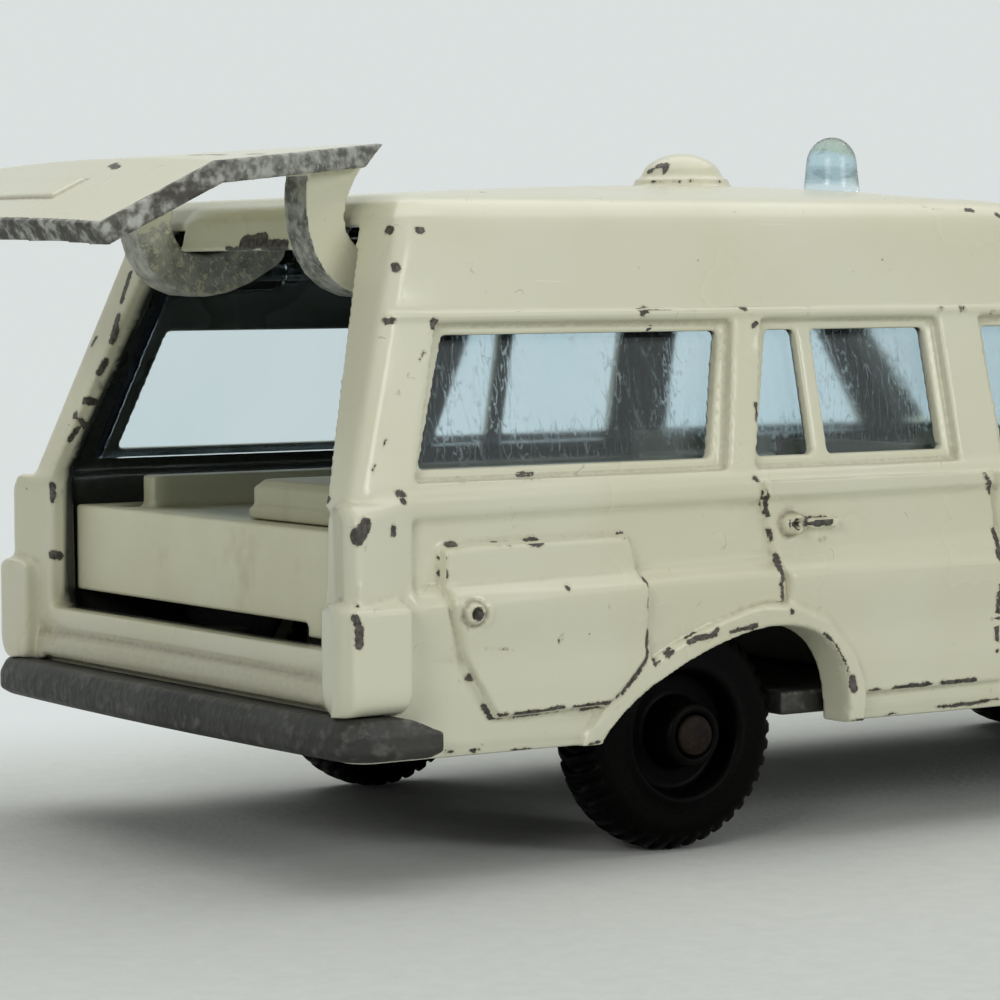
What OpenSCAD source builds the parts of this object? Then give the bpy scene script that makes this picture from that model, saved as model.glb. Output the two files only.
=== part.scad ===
// Toy ambulance: a die-cast estate body with a raised roof on a zinc base plate,
// blue glazing with a roof beacon, a white interior, a lift-out stretcher and an opening tailgate.
// Lengths run forward from the rear bumper, widths from the middle, heights from the ground.

/* [Body shell] */
// Length over both bumpers
length = 73; // [70:0.5:78]
// Width over the side panels
body_w = 28.3; // [27.6:0.1:29.4]
// Height of the roof crown
roof_z = 28.2; // [27.8:0.1:30]
// Thickness of the cast wall
wall = 1.1; // [0.95:0.05:1.25]
// Height of the sill's lower edge
sill_z = 5; // [4.8:0.05:5.4]
// Height of the crease along the side, at the rear
crease_z = 11.3; // [10.8:0.1:11.7]
// Height of the top of the belt ridge, at the rear
belt_z = 15.6; // [15.3:0.05:15.9]
// Height of the belt ridge itself
belt_h = 0.9; // [0.6:0.05:1.2]
// How far doors, flaps and arch lips stand proud of the sides
relief = 0.3; // [0.2:0.02:0.4]
// Height of the roof rail over the windows
rail_z = 22.7; // [22.4:0.05:23.2]
// Height where the roof starts to round in
shoulder_z = 25.6; // [25.2:0.05:26]
// Half width of the roof at that height
shoulder_half = 11.6; // [11:0.05:11.9]
// Lean of the tail pillars from the vertical, degrees
tail_rake = 19.5; // [18:0.5:21]
// Lean of the windscreen from the vertical, degrees
screen_rake = 41; // [36:0.5:45]

/* [Windows] */
// Height of the lower edge of the side windows
window_low_z = 16.5; // [16.3:0.05:16.9]
// Height of the upper edge of the side windows
window_top_z = 21.8; // [21.3:0.05:22.1]
// Step of the window surrounds, across and in
surround = 0.5; // [0.3:0.05:0.7]

/* [Rear opening] */
// Height of the opening's lower edge
opening_z = 9.4; // [9.1:0.05:9.8]
// Half width of the opening from there to the belt
opening_half = 12; // [11.7:0.05:12.2]
// Half width of the opening at the roof lip
opening_top_half = 8.75; // [8.6:0.05:8.9]
// Height of the roof lip's lower edge
lip_z = 25.3; // [24.9:0.05:25.5]

/* [Wheels and axles] */
// Radius of a tyre over its tread
wheel_r = 5; // [4.8:0.02:5.1]
// Width of a tyre
tyre_w = 3; // [2.6:0.05:3.2]
// Distance of the tyre's middle from the middle of the toy
wheel_y = 11.7; // [11.5:0.02:11.9]
// Rear axle, from the rear bumper
rear_axle_x = 18.4; // [18.2:0.05:18.9]
// Distance between the axles
wheelbase = 40.5; // [39.5:0.1:41.5]
// Radius of an axle
axle_r = 0.6; // [0.5:0.02:0.7]
// Running clearance of every pin in its hole, on the radius
running = 0.05; // [0.03:0.01:0.08]
// Number of blocks round a tread
tread_count = 40; // [30:1:48]

/* [Tailgate] */
// Length of the tailgate above its bend
gate_upper = 9.45; // [9:0.05:9.6]
// Thickness of the tailgate
gate_t = 0.9; // [0.8:0.05:1]
// How far its middle bows out past its edges
gate_crown = 0.35; // [0.2:0.05:0.6]
// Angle of the photographed open tailgate from closed, degrees
gate_open = 65; // [50:1:68]
// Gap round the closed tailgate
gate_gap = 0.3; // [0.25:0.05:0.45]
// Hinge line, from the rear bumper
hinge_x = 9.8; // [9.6:0.05:10.1]
// Height of the hinge line
hinge_z = 25.5; // [25.3:0.05:25.6]
// Radius of a hinge trunnion
hinge_r = 0.6; // [0.5:0.02:0.65]
// Thickness of a goose-neck arm
arm_t = 1.8; // [1.4:0.05:1.9]
// Distance of an arm's middle from the middle of the toy
arm_y = 7.3; // [7.1:0.05:7.4]

/* [Roof fittings] */
// Beacon, from the rear bumper
beacon_x = 36.8; // [35:0.1:38]
// Radius of the beacon
beacon_r = 1.32; // [1.1:0.02:1.6]
// Height of the beacon over the roof
beacon_h = 2.4; // [1.8:0.1:3]
// Roof vent, from the rear bumper
vent_x = 28; // [25:0.1:30]
// Radius of the vent's flange
vent_r = 2.16; // [1.9:0.02:2.6]
// Height of the vent's dome over the roof
vent_h = 1.5; // [1:0.1:1.9]

/* [Base, bumpers and inside] */
// Thickness of the base plate
base_t = 1; // [0.8:0.05:1.2]
// Height of the rear bumper's blade
bumper_h = 2.3; // [1.8:0.1:2.5]
// Thickness of a bumper's blade
bumper_t = 1.35; // [1.1:0.05:1.5]
// Thickness of the glazing
glass_t = 0.8; // [0.6:0.05:0.9]
// Clearance between pieces that are only trapped together
loose = 0.12; // [0.1:0.01:0.16]
// Height of the bed deck inside
deck_z = 13.95; // [13.7:0.05:14.2]
// Thickness of the interior's walls
inner_t = 1; // [0.8:0.05:1.2]
// Height of the upright partition over the deck
bench_h = 1.4; // [1:0.1:1.6]
// Width of the stretcher
stretcher_w = 7.6; // [6:0.1:8]
// Length of the stretcher
stretcher_l = 24; // [20:0.5:25]

/* [Hidden] */
cut = 0.5;
corner_steps = 5;
arc_fn = 40;

// Body outline: places along the length and half widths, from the driving sizes
side_half = body_w / 2;
sill_in = 0.4;
waist_in = 0.3;
sill_half = side_half - sill_in;
waist_half = side_half - waist_in;
bumper_reach = 1.55;
bumper_lift = 0.3;
tail_low_x = bumper_reach;
ledge_step = 0.4;
ledge_drop = 1.4;
ledge_z = opening_z - ledge_drop;
tail_lean = 0.2;
tail_belt_x = tail_low_x + tail_lean;
nose_x = length - bumper_reach;
front_axle_x = rear_axle_x + wheelbase;
cowl_back = 0.78;
cowl_x = front_axle_x - wheel_r - cowl_back;
glass_in = 0.45;
glass_half = side_half - glass_in;
window_half = side_half - glass_in;
roof_lean_share = 0.225;
rail_half = shoulder_half + roof_lean_share * (shoulder_z - rail_z);
axle_z = wheel_r;
corner_r = 1;
hollow_r = 0.3;
pillar_r = 0.6;
nose_r = 3.6;
crown_rise = 0.65;
crown_z = roof_z - crown_rise;
roof_side_r = 2.2;
roof_tail_r = 1.9;
roof_front_r = 9;
roof_mid_x = (rear_axle_x + front_axle_x) / 2 - roof_front_r;
crease_slope = 0.037;
belt_slope = 0.009;
soft_edge = 0.3;
round_angles = [30, 55, 75, 90];
crown_shares = [0.3, 0.6, 0.85, 0.97];

function mix(a, b, t) = a + (b - a) * t;
function arc(c, r, from, to, steps) =
    [for (i = [0 : steps]) let (a = mix(from, to, i / steps)) c + r * [cos(a), sin(a)]];

// Plan outline with two tail corners of radius r0 and two nose corners of radius r1
function plan(x0, x1, half, r0, r1) =
    let (a = min(r0, half), b = min(r1, half))
    concat(arc([x0 + a, -half + a], a, 180, 270, corner_steps),
           arc([x1 - b, -half + b], b, 270, 360, corner_steps),
           arc([x1 - b, half - b], b, 0, 90, corner_steps),
           arc([x0 + a, half - a], a, 90, 180, corner_steps));

// Each ring lies on a plane that rises along the length by its own slope
function ring(z, slope, x0, x1, half, r0, r1) =
    [for (p = plan(x0, x1, half, r0, r1)) [p[0], p[1], z + slope * p[0]]];

// Solid skin through rings of the same count, lowest ring first
module loft(rings) {
    n = len(rings[0]);
    m = len(rings);
    polyhedron(
        points = [for (r = rings) for (p = r) p],
        faces = concat(
            [[for (j = [0 : n - 1]) j]],
            [[for (j = [n - 1 : -1 : 0]) (m - 1) * n + j]],
            [for (i = [0 : m - 2]) for (j = [0 : n - 1])
                [i * n + j, (i + 1) * n + j, i * n + (j + 1) % n]],
            [for (i = [0 : m - 2]) for (j = [0 : n - 1])
                [i * n + (j + 1) % n, (i + 1) * n + j, (i + 1) * n + (j + 1) % n]]));
}

// Lower body: sill, bulging side, crease, waist, belt ridge and falling bonnet
bonnet_drop = 1.1;
bonnet_shares = [0.25, 0.6];
crease_tail_share = 0.4;
waist_tail_share = 0.9;
function low_ring(z, slope, x0, half, x1, t) = ring(z, slope, x0 + t, x1 - t, half - t, corner_r, nose_r);
module lower_skin(t, bottom) {
    loft([
        low_ring(bottom, 0, tail_low_x + ledge_step, sill_half, nose_x - sill_in, t),
        low_ring(sill_z + soft_edge * 2, 0, tail_low_x + ledge_step, side_half - waist_in / 2, nose_x - sill_in, t),
        low_ring(ledge_z - soft_edge, 0, tail_low_x + ledge_step, side_half, nose_x - sill_in, t),
        low_ring(ledge_z, 0, tail_low_x, side_half, nose_x, t),
        low_ring(crease_z - soft_edge - crease_slope * tail_low_x, crease_slope, tail_low_x,
                 side_half + waist_in / 6, nose_x, t),
        low_ring(crease_z + soft_edge, crease_slope, mix(tail_low_x, tail_belt_x, crease_tail_share),
                 waist_half, nose_x, t),
        low_ring(belt_z - belt_h - soft_edge, belt_slope, mix(tail_low_x, tail_belt_x, waist_tail_share),
                 waist_half - waist_in / 6, nose_x - bonnet_drop / 2, t),
        low_ring(belt_z - belt_h, belt_slope, tail_belt_x, side_half, nose_x - bonnet_drop, t),
        low_ring(belt_z - soft_edge, belt_slope, tail_belt_x + soft_edge / 2, side_half,
                 mix(nose_x, cowl_x, bonnet_shares[0]), t),
        low_ring(belt_z, belt_slope, tail_belt_x + soft_edge / 2, side_half - soft_edge / 2,
                 mix(nose_x, cowl_x, bonnet_shares[1]), t),
        low_ring(belt_z + soft_edge, belt_slope, tail_belt_x + soft_edge, glass_half, cowl_x + soft_edge, t)]);
}

// Greenhouse: raked tail and windscreen, leaning sides, rounded and crowned roof
function tail_at(z) = tail_belt_x + (z - belt_z) * tan(tail_rake);
function screen_at(z) = cowl_x - (z - belt_z) * tan(screen_rake);
function half_at(z) = z < rail_z
    ? mix(window_half, rail_half, (z - window_low_z) / (rail_z - window_low_z))
    : mix(rail_half, shoulder_half, (z - rail_z) / (shoulder_z - rail_z));
function upper_ring(z, t) =
    ring(z, 0, tail_at(z) + t, screen_at(min(z, rail_z)) - t - max(0, z - rail_z) * tan(tail_rake),
         half_at(z) - t, pillar_r, nose_r);
function round_ring(a, t) =
    let (s = 1 - cos(a), z = mix(shoulder_z, crown_z, sin(a)) - t * sin(a))
    ring(z, 0, tail_at(shoulder_z) + roof_tail_r * s + t * (1 - s),
         screen_at(rail_z) - (shoulder_z - rail_z) * tan(tail_rake) - roof_front_r * s - t * (1 - s),
         shoulder_half - roof_side_r * s - t * (1 - s), pillar_r, nose_r);
function crown_ring(share, t) =
    let (x0 = tail_at(shoulder_z) + roof_tail_r,
         x1 = screen_at(rail_z) - (shoulder_z - rail_z) * tan(tail_rake) - roof_front_r,
         h = (shoulder_half - roof_side_r) * (1 - share))
    ring(crown_z - t + (roof_z - crown_z) * (1 - (1 - share) * (1 - share)), 0,
         mix(x0, roof_mid_x, share), mix(x1, roof_mid_x, share), h, pillar_r, nose_r);
module upper_skin(t, bottom) {
    loft(concat(
        [upper_ring(bottom, t), upper_ring(rail_z, t), upper_ring(shoulder_z, t)],
        [for (a = round_angles) round_ring(a, t)],
        [for (s = crown_shares) crown_ring(s, t)]));
}

// Hollow: the lower part stays under the bonnet, and a middle part joins it to the cabin
module hollow() {
    low_top_z = belt_z - belt_h - wall;
    low_half = waist_half - waist_in / 6;
    loft([ring(sill_z - cut, 0, tail_low_x + ledge_step + wall, nose_x - sill_in - wall, sill_half - wall, hollow_r, nose_r),
          ring(low_top_z, 0, tail_belt_x + wall, nose_x - bonnet_drop - wall, low_half - wall, hollow_r, nose_r)]);
    translate([0, 0, low_top_z - cut]) linear_extrude(height = belt_h + wall + cut)
        polygon(plan(tail_belt_x + wall, cowl_x - wall, low_half - wall, hollow_r, nose_r));
    upper_skin(wall, belt_z - soft_edge);
}

// Outlines in side view, as prisms across the toy
module across(points, w) {
    rotate([90, 0, 0]) linear_extrude(height = w, center = true) polygon(points);
}
across_w = body_w + 4 * bumper_reach;

// Side windows: lower tail corner, lower front corner, upper front corner, upper tail corner
window_rise = window_top_z - window_low_z;
rear_window_x = [5.26, 19.73];
rear_window_lean = [1.95, 1.37];
door_window_x = [22.19, 32.43];
door_window_lean = [1.42, -0.05];
divider_x = 25.2;
divider_w = 0.85;
front_window_x = [35.9, 48.7];
front_window_lean = [-0.2, -4.1];
function pane(x, lean, g) =
    [[x[0] - g, window_low_z - g], [x[1] + g, window_low_z - g],
     [x[1] + lean[1] + g, window_top_z + g], [x[0] + lean[0] - g, window_top_z + g]];
module window_set(g) {
    across(pane(rear_window_x, rear_window_lean, g), across_w);
    across(pane(door_window_x, door_window_lean, g), across_w);
    across(pane(front_window_x, front_window_lean, g), across_w);
}
module divider_bars() {
    across([[divider_x, window_low_z - surround], [divider_x + divider_w, window_low_z - surround],
            [divider_x + divider_w, window_top_z + surround], [divider_x, window_top_z + surround]], across_w);
}

// Wheel arches: two superellipse quarters meet at the top
arch_z = 9.4;
arch_lead = 3.6;
arch_top_x = rear_axle_x + arch_lead;
arch_tail_l = 8.5;
arch_front_l = 4.1;
arch_tail_power = 1.45;
arch_front_power = 2.6;
front_arch_l = 6;
front_arch_power = 2;
arch_lip = 1;
arch_steps = 12;
arch_floor = sill_z - 2 * cut;
function quarter(x, l, h, power, from, to) =
    [for (i = [0 : arch_steps]) let (a = mix(from, to, i / arch_steps))
        [x + l * sign(cos(a)) * pow(abs(cos(a)), 2 / power), sill_z + h * pow(abs(sin(a)), 2 / power)]];
function arch(x, l0, p0, l1, p1, g) =
    concat([[x - l0 - g, arch_floor]],
           quarter(x, l0 + g, arch_z - sill_z + g, p0, 180, 90),
           quarter(x, l1 + g, arch_z - sill_z + g, p1, 90, 0),
           [[x + l1 + g, arch_floor]]);
module arches(g) {
    across(arch(arch_top_x, arch_tail_l, arch_tail_power, arch_front_l, arch_front_power, g), across_w);
    across(arch(front_axle_x, front_arch_l, front_arch_power, front_arch_l, front_arch_power, g), across_w);
}

// Round wells inside the side walls keep the wheels clear
well_room = 0.3;
well_out = 0.15;
module wheel_wells() {
    for (x = [rear_axle_x, front_axle_x]) for (s = [-1, 1])
        translate([x, s * (wheel_y + well_out / 2), axle_z]) rotate([90, 0, 0])
            cylinder(r = wheel_r + well_room, h = tyre_w + well_out, center = true, $fn = arc_fn);
}

// Raised panels on the side: the locker flap, the rear door and the front door
flap_x = 5.8;
flap_l = 9;
flap_low_z = 6.5;
flap_top_z = 13.4;
flap_shares = [[0, 1], [1, 1.02], [1.06, 0.7], [1.11, 0.26], [0.95, 0.03], [0.26, 0], [0.07, 0.4], [0, 0.7]];
sill_h = 1.25;
door_low_z = sill_z + sill_h;
rear_door_x = 21.6;
front_door_x = 34.3;
front_door_l = 15;
door_gap = 0.45;
door_drop = 0.1;
door_top_z = belt_z - door_drop;
door_lean = [1.2, 0.6];
door_bend_shares = [0.3, 0.55];
module panels() {
    across([for (p = flap_shares) [flap_x + flap_l * p[0], mix(flap_low_z, flap_top_z, p[1])]], across_w);
    tail_bend_z = mix(arch_z, door_top_z, door_bend_shares[0]);
    nose_bend_z = mix(door_low_z, door_top_z, door_bend_shares[1]);
    nose_x0 = front_door_x + door_lean[1];
    across([[rear_door_x, door_top_z], [rear_door_x + door_lean[0], tail_bend_z],
            [rear_door_x + door_lean[0], door_low_z], [nose_x0, door_low_z],
            [nose_x0, nose_bend_z], [front_door_x, door_top_z]], across_w);
    across([[front_door_x + door_gap, door_top_z], [nose_x0 + door_gap, nose_bend_z],
            [nose_x0 + door_gap, door_low_z],
            [front_door_x + front_door_l, door_low_z], [front_door_x + front_door_l, door_top_z]], across_w);
}

// Locks and handles stand on the side panels
lock_r = 0.45;
lock_z = 13.65;
lock_lead = 1.85;
flap_lock = [7.15, 10.75];
handle_l = 1.5;
handle_h = 0.35;
handle_x = 24.1;
fitting_reach = 0.75;
module side_fittings() {
    for (s = [-1, 1]) {
        for (p = [flap_lock, [rear_door_x + lock_lead, lock_z], [front_door_x + lock_lead, lock_z]])
            translate([p[0], s * (waist_half - wall / 2), p[1]]) rotate([-90 * s, 0, 0])
                difference() {
                    cylinder(r = lock_r, h = wall / 2 + fitting_reach, $fn = arc_fn);
                    translate([0, 0, wall / 2 + fitting_reach - relief])
                        cylinder(r = lock_r / 2, h = wall, $fn = arc_fn);
                }
        for (x = [handle_x, handle_x + front_door_x - rear_door_x])
            translate([x, min(s * (waist_half - wall / 2), s * (waist_half + fitting_reach)), lock_z - handle_h / 2])
                cube([handle_l, wall / 2 + fitting_reach, handle_h]);
    }
}

bumper_top_z = sill_z + bumper_lift + bumper_h;
// Tail corners flare out into fins, with a lamp block on each; headlamps stand on the nose
flare_x = 4.4;
flare_out = 1;
flare_tail = 0.2;
flare_low_z = bumper_top_z + loose;
flare_top_z = belt_z - soft_edge;
lamp_z = [8.1, 11.5];
lamp_out = 0.35;
lamp_in = 2.2;
flare_shares = [0.3, 1, 0.9, 0.4];
lamp_shares = [2, 0];
lamp_l = 2;
headlamp_r = 1.9;
headlamp_z = 11.6;
headlamp_y = 9.9;
headlamp_reach = 0.5;
lens_share = 0.8;
function flare_ring(z, share) =
    [[flare_x, side_half - wall, z], [flare_x, side_half, z],
     [tail_low_x - flare_tail, side_half + flare_out * share, z],
     [tail_low_x - flare_tail - soft_edge, side_half + flare_out * share - 2 * soft_edge, z],
     [tail_low_x + flare_tail, opening_half + gate_gap, z], [tail_belt_x + wall, opening_half + gate_gap, z]];
function lamp_ring(z, share) =
    [[tail_low_x + lamp_l, side_half - wall, z],
     [tail_low_x + lamp_l, side_half + flare_out + lamp_out * (1 - share), z],
     [tail_low_x - 2 * lamp_out, side_half + flare_out + lamp_out - soft_edge * share, z],
     [tail_low_x - 3 * lamp_out, side_half + flare_out - lamp_out - soft_edge * share, z],
     [tail_low_x - 2 * lamp_out, side_half + flare_out - lamp_in + soft_edge * share, z],
     [tail_low_x + wall / 2, side_half + flare_out - lamp_in, z]];
module lamps() {
    for (s = [0, 1]) mirror([0, s, 0]) {
        loft([flare_ring(flare_low_z, flare_shares[0]), flare_ring(lamp_z[0], flare_shares[1]),
              flare_ring(flare_top_z - soft_edge * 2, flare_shares[2]),
              flare_ring(flare_top_z, flare_shares[3])]);
        loft([lamp_ring(lamp_z[0] - soft_edge, lamp_shares[0]), lamp_ring(lamp_z[0], lamp_shares[1]),
              lamp_ring(lamp_z[1] - soft_edge, lamp_shares[1]), lamp_ring(lamp_z[1], lamp_shares[0])]);
        translate([nose_x - nose_r, headlamp_y, headlamp_z]) rotate([0, 90, 0]) {
            cylinder(r = headlamp_r, h = nose_r + headlamp_reach, $fn = arc_fn);
            translate([0, 0, nose_r + headlamp_reach]) cylinder(r = headlamp_r * lens_share, h = relief, $fn = arc_fn);
        }
    }
}

// Grille: plain level bars in a sunk panel
grille_half = 6.6;
grille_z = [7.6, 12.9];
grille_in = 0.7;
grille_bars = 6;
grille_gap_share = 0.55;
module grille_cut() {
    pitch = (grille_z[1] - grille_z[0]) / grille_bars;
    for (i = [0 : grille_bars - 1])
        translate([nose_x - grille_in, -grille_half, grille_z[0] + pitch * i])
            cube([grille_in + cut, 2 * grille_half, pitch * grille_gap_share]);
}

// Rear opening between the tail pillars, with a slot at each arm and a threshold
slot_half = arm_t / 2 + gate_gap;
slot_h = 0.6;
slot_top_z = shoulder_z + slot_h;
opening_stop = 3;
opening_depth = hinge_x - opening_stop;
module rear_opening() {
    rotate([90, 0, 90]) translate([0, 0, -cut]) linear_extrude(height = opening_depth + cut)
        polygon([[-opening_half, opening_z], [opening_half, opening_z], [opening_half, belt_z],
                 [opening_top_half, lip_z], [-opening_top_half, lip_z], [-opening_half, belt_z]]);
    for (s = [-1, 1]) translate([-cut, s * arm_y - slot_half, lip_z - cut])
        cube([opening_depth + cut, 2 * slot_half, slot_top_z - lip_z + cut]);
}

// Hinge lugs hang from the roof, each with a slot that the trunnion drops into
lug_t = 1.3;
lug_half = 1.2;
lug_y = arm_y + arm_t / 2 + gate_gap;
trunnion_l = gate_gap + lug_t - running;
module hinge_lugs() {
    for (s = [-1, 1]) translate([hinge_x, min(s * lug_y, s * (lug_y + lug_t)), 0]) difference() {
        translate([-lug_half, 0, hinge_z - lug_half / 2]) cube([2 * lug_half, lug_t, crown_z - hinge_z]);
        translate([0, -cut, hinge_z]) rotate([-90, 0, 0])
            cylinder(r = hinge_r + running, h = lug_t + 2 * cut, $fn = arc_fn);
        translate([-hinge_r - running, -cut, hinge_z - lug_half - cut])
            cube([2 * (hinge_r + running), lug_t + 2 * cut, lug_half + cut]);
    }
}

// Two posts are spun over in recesses under the base plate and hold the toy together
post_r = 1.15;
post_sink = 0.45;
post_head_r = 1.6;
post_head_t = 0.3;
post_x = [tail_low_x + ledge_step + wall + post_r - post_sink, front_axle_x + wheel_r + post_r];
base_drop = -0.3;
base_z = sill_z - base_drop;
post_top_z = [opening_z - loose, belt_z - belt_h];
module posts() {
    for (i = [0, 1]) translate([post_x[i], 0, base_z + running]) {
        cylinder(r = post_r, h = post_top_z[i] - base_z - running, $fn = arc_fn);
        cylinder(r = post_head_r, h = post_head_t - running, $fn = arc_fn);
    }
}

// Tongues of the base plate pass under the tail and the nose to the bumpers
tongue_half = 9;
tongue_gap = base_z + base_t + loose;
module tongue_notches() {
    for (x = [0, length - 2 * wall - bumper_reach - sill_in])
        translate([x, -tongue_half - loose, sill_z - cut])
            cube([2 * wall + bumper_reach + sill_in, 2 * (tongue_half + loose), tongue_gap - sill_z + cut]);
}

vent_dome_share = 0.86;
vent_dome_r = vent_r * vent_dome_share;
vent_rim_t = 0.35;
screen_edge = [1.1, 0.3];
roof_screen_z = [belt_z + screen_edge[0], rail_z - screen_edge[1]];
roof_screen_half = [11.3, 10.2];
module body_shell() {
    color("ivory") {
        difference() {
            union() {
                lower_skin(0, sill_z);
                upper_skin(0, belt_z - cut);
                intersection() {
                    lower_skin(-relief, sill_z - cut);
                    difference() {
                        union() {
                            panels();
                            arches(arch_lip);
                        }
                        translate([0, -across_w / 2, 0]) cube([length, across_w, sill_z]);
                    }
                }
                lamps();
                side_fittings();
                translate([vent_x, 0, crown_z]) cylinder(r = vent_r, h = roof_z - crown_z + vent_rim_t, $fn = arc_fn);
                translate([vent_x, 0, roof_z]) rotate_extrude($fn = arc_fn)
                    polygon(concat([[0, 0]], [for (a = [0 : 10 : 90])
                        [vent_dome_r * cos(a), vent_rim_t + (vent_h - vent_rim_t) * sin(a)]],
                        [[0, vent_h]]));
            }
            hollow();
            difference() {
                window_set(surround);
                upper_skin(surround, belt_z - cut);
            }
            difference() {
                window_set(0);
                divider_bars();
            }
            rotate([90, 0, 90]) translate([0, 0, screen_at(rail_z) - wall])
                linear_extrude(height = cowl_x + wall - screen_at(rail_z))
                    polygon([[-roof_screen_half[0], roof_screen_z[0]], [roof_screen_half[0], roof_screen_z[0]],
                             [roof_screen_half[1], roof_screen_z[1]], [-roof_screen_half[1], roof_screen_z[1]]]);
            difference() {
                arches(0);
                translate([0, -wheel_y + tyre_w, 0]) cube([length, 2 * (wheel_y - tyre_w), roof_z]);
            }
            wheel_wells();
            rear_opening();
            grille_cut();
            tongue_notches();
            translate([beacon_x, 0, crown_z - 2 * wall])
                cylinder(r = beacon_r + loose, h = roof_z, $fn = arc_fn);
        }
        intersection() {
            hinge_lugs();
            upper_skin(wall / 2, belt_z);
        }
        posts();
    }
}

// Tailgate, drawn closed between the pillars and then turned up about its hinge
gate_proud = 0.15;
gate_slack = 0.15;
gate_crown_shares = [1, 1, 0.15];
gate_tuck = 0.5;
gate_chamfer = 1.2;
gate_steps = 10;
gate_bend = [tail_belt_x - gate_proud, belt_z - gate_proud];
gate_lower = (gate_bend[1] - opening_z - gate_gap) / cos(gate_tuck);
gate_top = gate_bend + gate_upper * [sin(tail_rake), cos(tail_rake)];
gate_foot = gate_bend + gate_lower * [sin(gate_tuck), -cos(gate_tuck)];
function gate_half(z) = z < belt_z
    ? opening_half - gate_gap - gate_slack
    : mix(opening_half, opening_top_half, (z - belt_z) / (lip_z - belt_z)) - gate_gap - gate_slack;
// Row across the panel at profile point p, pushed out along its normal by a crown, or in by depth
function gate_row(p, normal, crown, depth) =
    [for (i = [0 : gate_steps]) let (t = 2 * i / gate_steps - 1, q = p + normal * (crown * (1 - t * t) - depth))
        [q[0], t * gate_half(p[1]), q[1]]];
module gate_panel() {
    down = [-cos(gate_tuck), -sin(gate_tuck)];
    up = [-cos(tail_rake), sin(tail_rake)];
    fold = (down + up) / norm(down + up);
    inner_top = gate_top - gate_chamfer * [sin(tail_rake), cos(tail_rake)];
    bow = gate_crown * gate_crown_shares;
    rows = [gate_row(gate_foot, down, bow[0], 0), gate_row(gate_bend, fold, bow[1], 0),
            gate_row(gate_top, up, bow[2], 0), gate_row(inner_top, up, bow[2], gate_t),
            gate_row(gate_bend, fold, bow[1], gate_t), gate_row(gate_foot, down, bow[0], gate_t)];
    n = gate_steps + 1;
    m = len(rows);
    polyhedron(
        points = [for (r = rows) for (p = r) p],
        faces = concat(
            [for (i = [0 : m - 1]) for (j = [0 : n - 2])
                [i * n + j, i * n + j + 1, ((i + 1) % m) * n + j + 1]],
            [for (i = [0 : m - 1]) for (j = [0 : n - 2])
                [i * n + j, ((i + 1) % m) * n + j + 1, ((i + 1) % m) * n + j]],
            [[0, n, 4 * n], [0, 4 * n, 5 * n], [n, 2 * n, 3 * n], [n, 3 * n, 4 * n]],
            [for (f = [[0, 4 * n, n], [0, 5 * n, 4 * n], [n, 3 * n, 2 * n], [n, 4 * n, 3 * n]])
                [for (k = f) k + n - 1]]));
}
// Goose-neck arm: two cubic curves from the hinge boss to the inside of the panel
arm_low = 4.5;
arm_high = 1.7;
boss_r = 0.95;
neck_steps = 10;
neck_out_shares = [[-0.326, -1.678], [0.383, -1.124]];
neck_in_shares = [[-0.689, -1.289], [0.012, -0.933]];
function gate_inside(z) = gate_bend[0] + (z - gate_bend[1]) * tan(tail_rake) + gate_t / 2;
function cubic(a, b, c, d) =
    [for (i = [0 : neck_steps]) let (t = i / neck_steps, s = 1 - t)
        s * s * s * a + 3 * s * s * t * b + 3 * s * t * t * c + t * t * t * d];
module gate_arm() {
    hinge = [hinge_x, hinge_z];
    low = [gate_inside(hinge_z - arm_low), hinge_z - arm_low];
    high = [gate_inside(hinge_z - arm_high), hinge_z - arm_high];
    across(concat(
        cubic(low, hinge + arm_low * neck_out_shares[0], hinge + arm_low * neck_out_shares[1], hinge + [boss_r, 0]),
        cubic(hinge - [boss_r, 0], hinge + arm_low * neck_in_shares[1],
              hinge + arm_low * neck_in_shares[0], high)), arm_t);
    translate([hinge_x, 0, hinge_z]) rotate([90, 0, 0]) cylinder(r = boss_r, h = arm_t, center = true, $fn = arc_fn);
}
// Rearmost place of the open tailgate, which sets the middle of the whole length
gate_tip = gate_foot - gate_crown * [cos(gate_tuck), sin(gate_tuck)] - [hinge_x, hinge_z];
gate_reach_x = hinge_x + gate_tip[0] * cos(gate_open) + gate_tip[1] * sin(gate_open);
mid_x = (gate_reach_x + length) / 2;
module tailgate() {
    color("ivory") translate([hinge_x, 0, hinge_z]) rotate([0, gate_open, 0]) translate([-hinge_x, 0, -hinge_z]) {
        gate_panel();
        for (s = [-1, 1]) {
            translate([0, s * arm_y, 0]) gate_arm();
            translate([hinge_x, s * arm_y, hinge_z]) rotate([-90 * s, 0, 0])
                cylinder(r = hinge_r, h = arm_t / 2 + trunnion_l, $fn = arc_fn);
        }
    }
}

// Bumper: a bowed blade that wraps the corner, bevelled above and below
bumper_over = 1.6;
bumper_w = body_w + 2 * bumper_over;
bumper_rise_shares = [0.6, 0.75, 0.6];
bumper_bow = 0.4;
bumper_wrap = 4.8;
bumper_corner_r = 1.2;
bumper_bevel = 0.4;
bumper_low_z = sill_z + bumper_lift;
bow_steps = 8;
function bumper_plan(inset, wrap) =
    let (h = bumper_w / 2 - inset, r = bumper_corner_r, y = h - r)
    concat([[wrap, -h]], arc([bumper_bow + inset + r, -y], r, 270, 180, corner_steps),
           [for (i = [1 : bow_steps - 1]) let (t = 2 * i / bow_steps - 1) [inset + bumper_bow * t * t, y * t]],
           arc([bumper_bow + inset + r, y], r, 180, 90, corner_steps), [[wrap, h]]);
function bumper_ring(z, inset, wrap) =
    let (p = bumper_plan(inset, wrap)) [for (i = [len(p) - 1 : -1 : 0]) [p[i][0], p[i][1], z]];
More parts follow.
